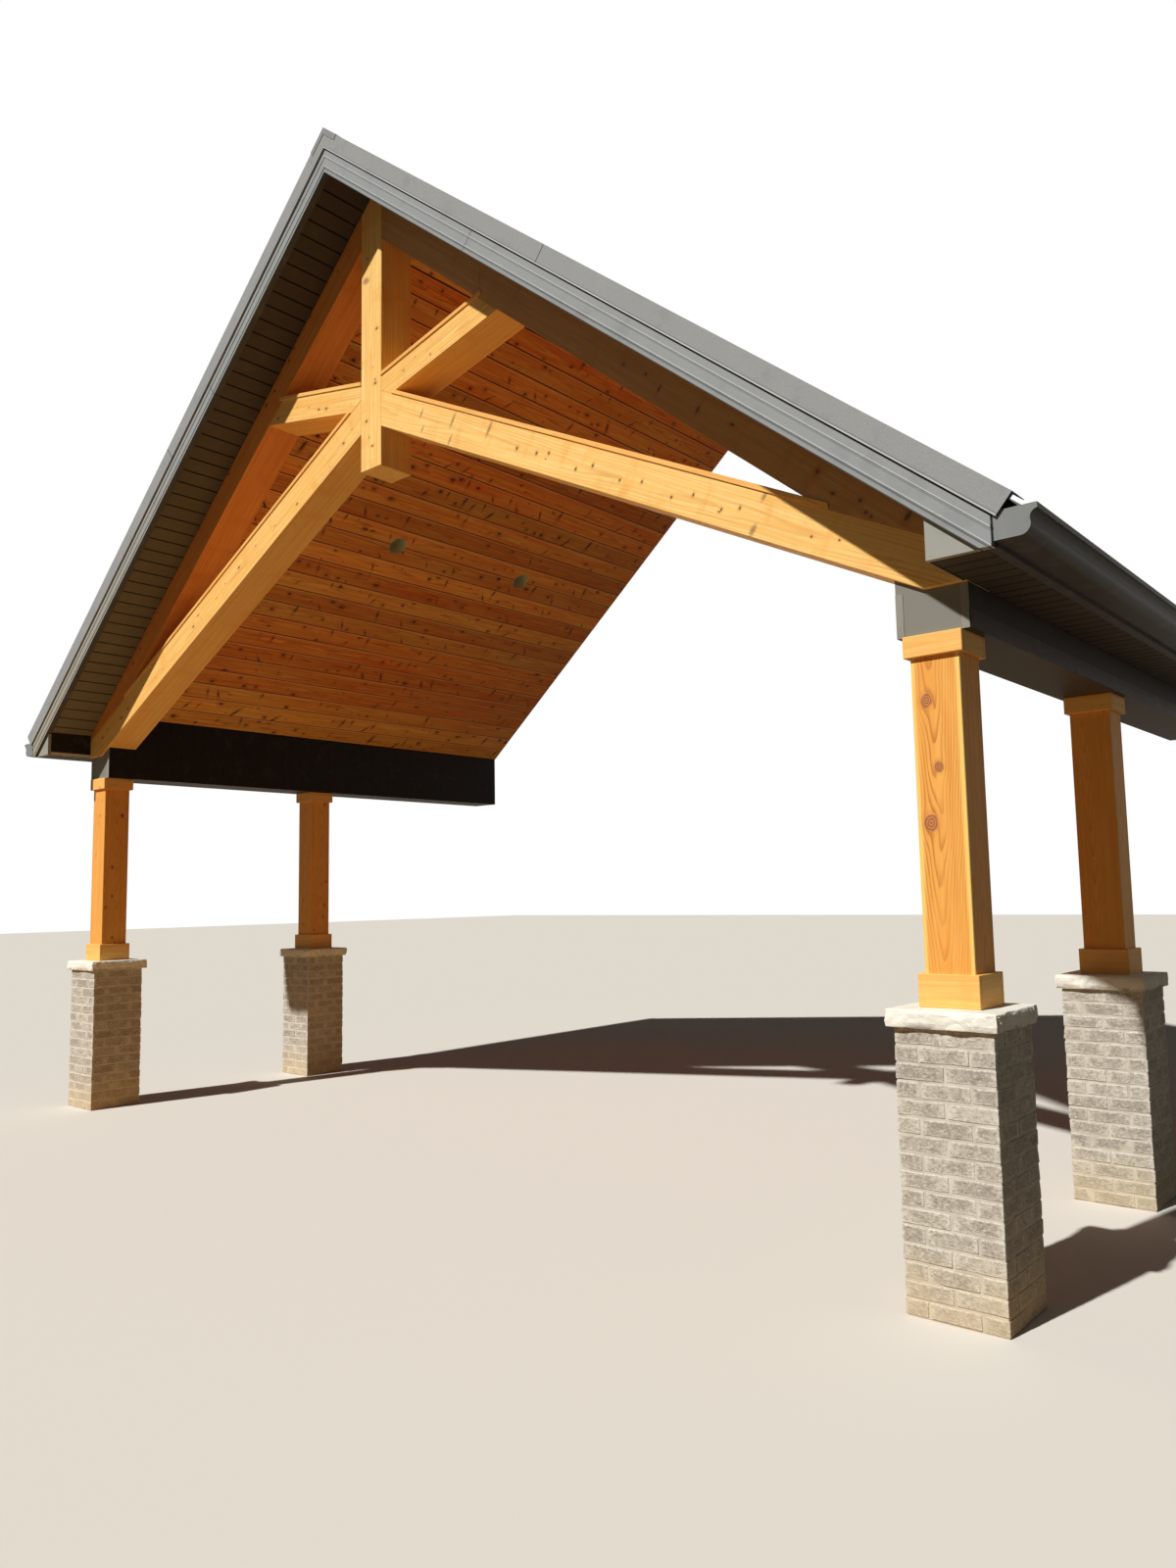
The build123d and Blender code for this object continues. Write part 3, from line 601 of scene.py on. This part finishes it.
# Closed forms, gathered as arrays and joined into one mesh for each piece
def placed(name, data):
    """A new object in the scene."""
    thing = bpy.data.objects.new(name, data)
    bpy.context.scene.collection.objects.link(thing)
    return thing


def slab(x0, x1, z0, z1):
    """Outline of a rectangle."""
    return [(x0, z0), (x1, z0), (x1, z1), (x0, z1)]


def eased_outline(outline, ease):
    """Cuts each corner of a closed outline by ease, and gives it again drawn in by ease."""
    corners = np.asarray(outline, float)
    ahead, behind = np.roll(corners, -1, 0), np.roll(corners, 1, 0)
    leave, arrive = [gap / np.linalg.norm(gap, axis=1)[:, None] for gap in (ahead - corners, behind - corners)]
    area = np.sum(corners[:, 0] * ahead[:, 1] - ahead[:, 0] * corners[:, 1])
    turn = 1 if area > 0 else -1
    inward = turn * np.stack([-leave[:, 1], leave[:, 0]], 1)
    before = np.roll(inward, 1, 0)
    mitre = (inward + before) / (1 + np.sum(inward * before, 1))[:, None]
    return [np.stack([base + arrive * step, base + leave * step], 1).reshape(-1, 2)
            for base, step in ((corners, ease), (corners + mitre * ease, 1e-5))]


def eased_prism(outline, near, far, ease):
    """A closed form with that outline from near to far, with every edge eased. Third axis is depth."""
    cut, inner = eased_outline(outline, ease)
    rings = [np.column_stack([flat, np.full(len(flat), depth)])
             for flat, depth in ((inner, near), (cut, near + ease), (cut, far - ease), (inner, far))]
    count = len(cut)
    faces = [list(range(count))[::-1], [3 * count + corner for corner in range(count)]]
    for ring in (0, count, 2 * count):
        for corner in range(count):
            after = (corner + 1) % count
            faces.append([ring + corner, ring + after, ring + count + after, ring + count + corner])
    return np.concatenate(rings), faces


class Stock:
    """Gathers closed forms for one piece, with the grain place and tone of each corner."""

    def __init__(self, seed):
        self.chance = random.Random(seed)
        self.points, self.faces, self.grain, self.tone = [], [], [], []
        self.count = 0

    def add(self, points, faces, grain=None, tone=None, drift=True):
        """Adds one form; drift starts its grain at a random place, so no two boards are alike."""
        points = np.asarray(points, float)
        self.points.append(points)
        self.faces += [[self.count + corner for corner in face] for face in faces]
        grain = points if grain is None else np.asarray(grain, float)
        if drift:
            grain = grain * (self.chance.choice((-1, 1)), 1, 1) + (self.chance.uniform(-40, 40), 0, 0)
        self.grain.append(grain)
        value = self.chance.random() if tone is None else tone
        self.tone.append(np.zeros(len(points)) + value)
        self.count += len(points)

    def profile(self, outline, grain_angle, ease=0.003, side=1, y_near=y_truss_front, y_far=y_truss_back,
                tone=None, middle=None):
        """A form with its outline in X and Z. A middle sets where its grain lies; without one it drifts."""
        form, faces = eased_prism(outline, y_near, y_far, ease)
        cos, sin = math.cos(grain_angle), math.sin(grain_angle)
        along = form[:, 0] * cos + form[:, 1] * sin
        across = form[:, 1] * cos - form[:, 0] * sin
        centre = (across.max() + across.min()) / 2 if middle is None else middle
        points = np.column_stack([side * form[:, 0], form[:, 2], form[:, 1]])
        grain = np.column_stack([along, across - centre, form[:, 2] - y_near])
        self.add(points, faces, grain, tone, drift=middle is None)

    def board(self, lo, hi, wide_axis, upright=False, tone=None, drift=True):
        """A board from corner to corner, wide along X or Y (axis 0 or 1), its grain level or upright."""
        deep_axis = 1 - wide_axis
        outline = slab(lo[wide_axis], hi[wide_axis], lo[2], hi[2])
        form, faces = eased_prism(outline, lo[deep_axis], hi[deep_axis], board_ease)
        points = form[:, [2, 0, 1]] if wide_axis else form[:, [0, 2, 1]]
        along, across = (form[:, 1], form[:, 0]) if upright else (form[:, 0], form[:, 1])
        middle = (across.max() + across.min()) / 2
        self.add(points, faces, np.column_stack([along, across - middle, form[:, 2] - form[0, 2]]), tone, drift)

    def piece(self, node, suffix, finish, stands_in=True):
        """Makes the mesh object, hangs it on the canopy and lets it stand for its CAD node."""
        name = f"{node}_{suffix}"
        mesh = bpy.data.meshes.new(name)
        mesh.from_pydata(np.concatenate(self.points).tolist(), [], self.faces)
        grain = mesh.attributes.new("grain", "FLOAT_VECTOR", "POINT")
        grain.data.foreach_set("vector", np.concatenate(self.grain).astype(np.float32).ravel())
        tone = mesh.attributes.new("tone", "FLOAT", "POINT")
        tone.data.foreach_set("value", np.concatenate(self.tone).astype(np.float32))
        mesh.materials.append(finish)
        thing = placed(name, mesh)
        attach(thing, "root")
        if stands_in:
            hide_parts(node)
        return thing


# Brick piers
def rounded_grid(half, radius, steps):
    """Corners and faces of a box with rounded edges, with steps cells along each side."""
    half = np.asarray(half, float)
    ticks = [np.concatenate([[-h, -h + radius * 0.35], np.linspace(-h + radius, h - radius, steps[i]),
                             [h - radius * 0.35, h]]) for i, h in enumerate(half)]
    found, points, faces = {}, [], []

    def corner(place):
        key = tuple(np.round(place, 7))
        if key not in found:
            found[key] = len(points)
            points.append(place)
        return found[key]

    for axis in range(3):
        u_axis, v_axis = (axis + 1) % 3, (axis + 2) % 3
        for sign in (-1, 1):
            for i, j in np.ndindex(len(ticks[u_axis]) - 1, len(ticks[v_axis]) - 1):
                quad = []
                for a, b in ((i, j), (i + 1, j), (i + 1, j + 1), (i, j + 1)):
                    place = np.zeros(3)
                    place[[axis, u_axis, v_axis]] = sign * half[axis], ticks[u_axis][a], ticks[v_axis][b]
                    quad.append(corner(place))
                faces.append(quad[::sign])
    points = np.array(points)
    core = np.clip(points, -(half - radius), half - radius)
    out = points - core
    length = np.maximum(np.linalg.norm(out, axis=1), 1e-9)[:, None]
    rounded = core + out / length * np.minimum(length, radius)
    return np.where(length > radius, rounded, points), faces


brick_form, brick_faces = rounded_grid(brick_half, brick_edge, (4, 3, 2))


def tumbled(points, chance, amount):
    """Small smooth dents and bulges, new for each brick."""
    moved = points.copy()
    for _ in range(4):
        wave = np.array([chance.uniform(-60, 60) for _ in range(3)])
        push = np.array([chance.uniform(-1, 1) for _ in range(3)])
        moved += amount * np.sin(points @ wave + chance.uniform(0, 6.3))[:, None] * push
    return moved


def knocked(points, chance):
    """Up to two corners of a brick chipped away."""
    for _ in range(chance.choice((0, 1, 1, 2))):
        corner = np.abs(brick_form).max(0) * [chance.choice((-1, 1)) for _ in range(3)]
        bite = chance.uniform(0.008, 0.018)
        near = np.clip(1 - np.linalg.norm(points - corner, axis=1) / bite, 0, 1)[:, None]
        points = points - near * np.sign(corner) * bite * 0.28
    return points


def build_pier(place, seed):
    """Courses of four bricks round two, each course turned a quarter from the one under it."""
    lo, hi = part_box(f"pier_{place}")
    centre, width = (lo + hi) / 2, hi.x - lo.x
    course = (hi.z - lo.z) / brick_courses
    edge_row, half_run = (width - brick_width) / 2, (width - brick_length) / 2
    layout = [(u, v, False) for u in (-half_run, half_run) for v in (-edge_row, edge_row)]
    layout += [(u, 0.0, True) for u in (-edge_row, edge_row)]
    bricks = Stock(seed)
    chance = bricks.chance
    for level in range(brick_courses):
        turned = (brick_courses - 1 - level) % 2
        for u, v, crosswise in layout:
            form = tumbled(brick_form, chance, 0.0008)
            form[:, 1] += chance.uniform(-0.0016, 0.0016)
            form[:, 2] += chance.uniform(-0.0014, 0.0014)
            form = form * (1 - chance.uniform(0.0, 0.014), 1.0, 1 - chance.uniform(0.0, 0.02))
            form = knocked(form, chance)
            if crosswise:
                form = form[:, [1, 0, 2]] * (1, -1, 1)
            form = form + (u, v, 0)
            if turned:
                form = form[:, [1, 0, 2]] * (-1, 1, 1)
            form = form + (centre.x, centre.y, lo.z + (level + 0.5) * course)
            bricks.add(form, brick_faces, brick_form, chance.random(), drift=False)
    bricks.piece(f"pier_{place}", "bricks", brick_finish)

    mortar = Stock(seed + 50)
    inner = width / 2 - mortar_recess
    form, faces = eased_prism(slab(-inner, inner, lo.z, hi.z), -inner, inner, mortar_ease)
    mortar.add(form[:, [0, 2, 1]] + (centre.x, centre.y, 0), faces)
    mortar.piece(f"pier_{place}", "mortar", mortar_finish, False)


def build_cap_stone(place, seed):
    """A stone slab with split faces: scooped and chipped at its edges, with chiselled X ends."""
    lo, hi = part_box(f"cap_stone_{place}")
    centre, half = (lo + hi) / 2, (hi - lo) / 2
    form, faces = rounded_grid(half, stone_ease, stone_cells)
    chips = []
    moved = form.copy()
    for index, point in enumerate(form):
        shift = Vector(point) + Vector((seed * 3.7, 0, 0))
        reach = max(abs(point[0]) / half.x, abs(point[1]) / half.y)
        face = min(1.0, max(0.0, (reach - 0.90) / 0.09))
        rise = point[2] / half.z
        scoop = noise.noise(Vector((shift.x * 9, shift.y * 9, shift.z * 7)))
        facet = noise.cell(Vector((shift.x * 20 + scoop * 3, shift.y * 20, shift.z * 24 + scoop * 4)))
        rough = noise.fractal(shift * 34, 1.0, 2.1, 3)
        low_edge, high_edge = max(0.0, -rise - 0.35), max(0.0, rise - 0.55)
        bite = face * (0.005 + 0.006 * scoop + 0.0026 * abs(facet) + 0.0018 * rough
                       + 0.016 * low_edge * (0.4 + 0.9 * scoop) + 0.012 * high_edge * (0.6 + 0.9 * scoop))
        chisel = noise.cell(Vector((seed, (shift.y + shift.z * 0.7 + scoop * 0.02) * 34, 0.5)))
        for axis, size, cut in ((0, half.x, 0.008 * abs(chisel)), (1, half.y, 0.0)):
            share = min(1.0, max(0.0, (abs(point[axis]) / size - 0.90) / 0.10))
            moved[index, axis] -= math.copysign(max(bite + face * cut, 0.0) * share, point[axis])
        worn = 0.0006 + 0.0007 * noise.noise(shift * 22) + face * high_edge * (0.006 + 0.008 * max(scoop, 0))
        if abs(rise) > 0.5:
            moved[index, 2] -= math.copysign(max(worn, 0.0), point[2])
        chips.append(min(1.0, face * max(0.0, abs(facet) * 0.7 - 0.6 + low_edge * 1.8)))
    stone = Stock(seed)
    stone.add(moved + tuple(centre), faces)
    thing = stone.piece(f"cap_stone_{place}", "split", limestone)
    chip = thing.data.attributes.new("chip", "FLOAT", "POINT")
    chip.data.foreach_set("value", np.array(chips, np.float32))


def build_post(place, seed):
    """Four boards round a timber, and trim boards at foot and head."""
    lo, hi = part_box(f"post_{place}")
    post = Stock(seed)
    fronts = [(lo.y, lo.y + post_board), (hi.y - post_board, hi.y)]
    if place == "front_right":
        face = Stock(seed + 40)
        face.board(lo, (hi.x, fronts.pop(0)[1], hi.z), 0, upright=True, tone=0.30, drift=False)
        face.piece(f"post_{place}", "face_board", cedar_post_knots)
    for y0, y1 in fronts:
        post.board((lo.x, y0, lo.z), (hi.x, y1, hi.z), 0, upright=True)
    for x0, x1 in ((lo.x, lo.x + post_board), (hi.x - post_board, hi.x)):
        post.board((x0, lo.y + post_board, lo.z), (x1, hi.y - post_board, hi.z), 1, upright=True)
    wood = cedar_knotty if place.endswith("left") else cedar_post
    post.piece(f"post_{place}", "boards", wood)

    lap = lo.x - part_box(f"post_trim_{place}")[0].x
    trim = Stock(seed + 20)
    for z0, z1 in ((lo.z, lo.z + post_base_height), (hi.z - post_capital_height, hi.z)):
        for y0, y1 in ((lo.y - lap, lo.y), (hi.y, hi.y + lap)):
            trim.board((lo.x - lap, y0, z0), (hi.x + lap, y1, z1), 0)
        for x0, x1 in ((lo.x - lap, lo.x), (hi.x, hi.x + lap)):
            trim.board((x0, lo.y, z0), (x1, hi.y, z1), 1)
    trim.piece(f"post_trim_{place}", "boards", cedar_trim)


# Front truss
def build_king_post():
    king = Stock(31)
    shoulder = point_on(rafter_head, x_king)[1]
    king.profile([(-x_king, king_lo.z), (x_king, king_lo.z), (x_king, shoulder), (0, rafter_head[0]),
                  (-x_king, shoulder)], math.pi / 2, tone=0.2, middle=0.0)
    king.piece("king_post", "timber", cedar_king)


def build_rafter(side_name, side, seed):
    """Boards butted end to end. Each joint has an X on the lower edge and one on the upper."""
    rafter = Stock(seed)
    square_joint = (rafter_joint * cos_pitch - rafter_drop * sin_pitch,
                    rafter_joint * cos_pitch + rafter_top * sin_pitch)
    upright_joint = (x_upright_joint[side_name],) * 2
    joints = [(x_king, x_king), upright_joint, *[square_joint] * (side > 0), (x_beam_out, x_beam_out)]
    low_edge = [point_on(rafter_foot, x_king), crossing(chord_head, rafter_foot), point_on(chord_head, x_beam_out)]
    for tone, (low_start, high_start), (low_end, high_end) in zip((0.3, 0.62, 0.45), joints, joints[1:]):
        bends = [x for x, z in low_edge if low_start + 0.01 < x < low_end - 0.01]
        outline = [(x, np.interp(x, *zip(*low_edge))) for x in (low_start, *bends, low_end)]
        outline += [point_on(rafter_head, x) for x in (high_end, high_start)]
        fixed = {"tone": tone, "middle": rafter_middle} if side > 0 else {}
        rafter.profile(outline, rafter_down, 0.0015, side, **fixed)
    finish = cedar_rafter_dots if side > 0 else cedar_rafter
    rafter.piece(f"truss_rafter_{side_name}", "timber", finish)


def build_chord(side_name, side, seed):
    chord = Stock(seed)
    outline = [point_on(chord_foot, x_king), (x_heel, z_soffit), (x_beam_out, z_soffit),
               point_on(chord_head, x_beam_out), point_on(chord_head, x_king)]
    finish, fixed = (cedar_chord, {"tone": 0.25, "middle": chord_middle}) if side > 0 else (cedar_truss, {})
    chord.profile(outline, chord_down, side=side, **fixed)
    chord.piece(f"bottom_chord_{side_name}", "timber", finish)


def build_strut(side_name, side, seed):
    strut = Stock(seed)
    outline = [point_on(chord_head, x_king), crossing(strut_foot, chord_head), crossing(strut_foot, rafter_foot),
               crossing(strut_head, rafter_foot), point_on(strut_head, x_king)]
    strut.profile(outline, strut_up, board_ease, side)
    strut.piece(f"strut_{side_name}", "timber", cedar_truss)


def build_cap_boards(side_name, side, seed):
    """A board on the chord and one on the strut, each with its lap over the front of the rafter."""
    caps = Stock(seed)
    y_near, y_far = y_truss_front - cap_overhang, y_truss_back + cap_overhang
    chord_start = [crossing(edge, strut_foot) for edge in (chord_head, chord_cap)]
    strut_start = [point_on(edge, x_king) for edge in (strut_head, strut_cap)]
    for angle, edges, start, lap_length in (
            (chord_down, (chord_head, chord_cap), chord_start, chord_cap_lap),
            (strut_up, (strut_head, strut_cap), strut_start, strut_cap_lap)):
        end = [crossing(edge, rafter_foot) for edge in edges]
        x_lap = end[1][0] + lap_length * math.cos(angle)
        lap = [point_on(edge, x_lap) for edge in edges]
        caps.profile([start[0], *end, start[1]], angle, board_ease, side, y_near, y_far)
        caps.profile([end[0], *lap, end[1]], angle, board_ease, side, y_near, y_truss_front)
    caps.piece(f"truss_cap_boards_{side_name}", "cedar", cedar_trim)


# Vaulted ceiling of tongue-and-groove boards
def notched(y0, y1, s0, s1):
    """Outline of one board in Y and along the slope, with the round notches of the cans in its edges."""
    outline = []
    for s_edge, run in ((s0, 1), (s1, -1)):
        edge = [(y0, s_edge)]
        for setback in can_setbacks:
            y_can, off = y_posts + setback, s_edge - can_along
            if abs(off) < can_radius and y0 < y_can < y1:
                reach = math.asin(off * run / can_radius)
                for step in range(can_steps + 1):
                    turn = reach + (math.pi - 2 * reach) * step / can_steps
                    edge.append((y_can - can_radius * math.cos(turn), can_along + run * can_radius * math.sin(turn)))
        edge.append((y1, s_edge))
        outline += edge[::run]
    return outline


def build_ceiling(side_name, side, seed):
    boards = Stock(seed)
    full = x_beam_in / cos_pitch
    edges = [ceiling_top]
    while edges[-1] < full - 0.02:
        edges.append(min(ceiling_offset + ceiling_board * len(edges), full - 0.001))
    for above, below in zip(edges, edges[1:]):
        s0, s1 = above + board_gap / 2, below - board_gap / 2
        form, faces = eased_prism(notched(y_truss_back, y_back, s0, s1), 0.0, ceiling_thickness, ceiling_ease)
        points = on_slope(side, form[:, 1], form[:, 0], form[:, 2])
        boards.add(points, faces, np.column_stack([form[:, 0], form[:, 1] - (s0 + s1) / 2, form[:, 2]]))
    boards.piece(f"ceiling_{side_name}", "boards", cedar_ceiling)


# Metal soffit of grooved panels under the rake and the eave
def soffit_panels(length):
    """Where each panel of a run starts and ends."""
    for index in range(int(length / soffit_board) + 1):
        yield index * soffit_board + soffit_gap, (index + 1) * soffit_board - soffit_gap


def build_rake_soffit(side_name, side, seed):
    panels = Stock(seed)
    for start, end in soffit_panels(x_beam_out / cos_pitch):
        x0, x1 = max(start * cos_pitch, 0.001), min(end * cos_pitch, x_beam_out - return_setback)
        if x1 - x0 >= smallest_panel:
            low, high = roof_line(rake_soffit_layer), roof_line(rake_soffit_layer + soffit_thickness)
            outline = [point_on(edge, x) for edge, x in ((low, x0), (low, x1), (high, x1), (high, x0))]
            panels.profile(outline, 0.0, soffit_ease, side, y_soffit, y_truss_front)
    panels.piece(f"rake_soffit_{side_name}", "panels", rake_soffit_metal)


def build_boxed_eave(side_name, side, seed):
    """Grooved panels underneath, and at the front the return: inner sheet, end sheet and foot strip."""
    panels = Stock(seed)
    for start, end in soffit_panels(y_back - y_soffit):
        y0, y1 = y_soffit + start, min(y_soffit + end, y_back)
        if y1 - y0 >= smallest_panel:
            outline = slab(x_beam_out, eave_hi.x, z_soffit, z_soffit + soffit_thickness)
            panels.profile(outline, 0.0, soffit_ease, side, y0, y1)
    panels.piece(f"boxed_eave_{side_name}", "panels", eave_soffit_metal)

    x_return = x_beam_out - return_thickness
    soffit, fascia = roof_line(rake_soffit_layer), roof_line(fascia_bottom)
    inner = [(x_return, z_soffit), (x_beam_out, z_soffit), point_on(soffit, x_beam_out), point_on(soffit, x_return)]
    outer = [(x_return, z_soffit), crossing(fascia, (z_soffit, 0)), point_on(fascia, x_return)]
    foot = slab(x_return - strip_thickness, x_return, z_soffit, z_soffit + strip_height)
    for suffix, step, finish, outline, ease, y_near, y_far in (
            ("return", 6, bronze_metal, inner, return_ease, y_soffit, y_truss_front),
            ("end", 3, return_metal, outer, return_ease, y_fascia + return_setback, y_soffit),
            ("foot_strip", 9, strip_metal, foot, strip_ease, y_soffit, y_truss_front)):
        sheet = Stock(seed + step)
        sheet.profile(outline, 0.0, ease, side, y_near, y_far)
        sheet.piece(f"boxed_eave_{side_name}", suffix, finish, False)


def build_beam_strips(side_name, side, seed):
    """Folded strips along the outer foot of a side beam, one over the other."""
    strips = Stock(seed)
    for low, high, proud in beam_strips:
        outline = slab(x_beam_out + 0.0002, x_beam_out + proud, beam_lo.z + low, beam_lo.z + high)
        strips.profile(outline, 0.0, beam_strip_ease, side, beam_lo.y + 0.001, y_back)
    strips.piece(f"side_beam_{side_name}", "foot_strips", bronze_metal, False)


# Each piece has its own seed
for number, place in enumerate(PLACES):
    build_pier(place, 101 + number)
    build_cap_stone(place, 7 + number)
    build_post(place, 201 + number)
build_king_post()
for builds in (((build_rafter, 40), (build_chord, 44), (build_strut, 48), (build_cap_boards, 52)),
               ((build_ceiling, 300), (build_rake_soffit, 310), (build_boxed_eave, 320), (build_beam_strips, 330))):
    for number, (side_name, side) in enumerate(SIDES):
        for build, seed in builds:
            build(side_name, side, seed + number)

# Sheet metal and framing that keep the shape of their nodes
KEPT = {
    "beam_corner_strips": (corner_metal, "beam_cladding"), "side_beam": (beam_cladding, "beam_cladding"),
    "light_cans": (can_metal, "light_can"), "roof_framing": (framing_wood, "framing_lumber"),
    "roof_deck": (plywood, "deck_plywood"), "roof_panels": (roof_metal, "roof_metal"),
    "ridge_cap": (ridge_metal, "roof_metal"), "rake_trim": (trim_metal, "rake_trim"),
    "rake_fascia": (fascia_metal, "fascia_metal"), "eave_fascia": (shaded_eave_fascia_metal, "fascia_metal"),
    "gutter": (gutter_metal, "gutter_metal"),
}
for name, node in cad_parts.items():
    for family, (finish, slot) in KEPT.items():
        if name.startswith(family):
            node.data.materials.clear()
            node.data.materials.append(finish)

# Camera, at the photograph's view
photo_height, focal_pixels, sensor = 1600, 1120.3, 36.0
camera_place = Vector((5.350, -6.187, 1.619))
yaw, tilt, roll = math.radians(-40.779), math.radians(5.750), math.radians(-0.991)
camera = placed("camera", bpy.data.cameras.new("camera"))
camera.data.sensor_width = sensor
camera.data.lens = focal_pixels / photo_height * sensor
camera.matrix_world = (Matrix.Translation(camera_place) @ Matrix.Rotation(-yaw, 4, "Z")
                       @ Matrix.Rotation(math.pi / 2 + tilt, 4, "X") @ Matrix.Rotation(roll, 4, "Z"))
bpy.context.scene.camera = camera

# Light: sun from the front left, and a faint sky that shows white behind
sun = placed("sun", bpy.data.lights.new("sun", "SUN"))
sun.data.energy = 4.3
sun.data.angle = math.radians(1.2)
sun.rotation_mode = "QUATERNION"
sun.rotation_quaternion = Vector((0.132, 0.703, -0.698)).to_track_quat("-Z", "Y")

sky_glow = 0.06
sky = Finish("sky", bpy.data.worlds)
strength = sky.seen() * (1 - sky_glow) + sky_glow
background = sky.node("Background", (), {"Color": (1, 1, 1, 1), "Strength": strength})
sky.node("OutputWorld", (), {"Surface": background})
bpy.context.scene.world = sky.owner

# Pale floor; the light it gives back is warm near the canopy, as from dry ground
reach = 60.0
floor_mesh = bpy.data.meshes.new("floor")
floor = placed("floor", floor_mesh)
floor_mesh.from_pydata([(x, y, 0) for x, y in slab(-reach, reach, -reach, reach)], [], [(0, 1, 2, 3)])
ground = Finish("floor_pale")
x, y, z = ground.axes(ground.position())
far_off = ((x + 0.8) ** 2 + ((y + 2.4) / 1.2) ** 2).root().ramp(3.2, 6.0)
bounce = ground.mix(far_off, (196, 154, 102), (96, 90, 78))
floor_colour = ground.mix(ground.seen(), bounce, (222, 216, 204))
floor_mesh.materials.append(ground.surface(floor_colour, 0.9, 0.0))

bpy.context.scene.view_settings.view_transform = "Standard"
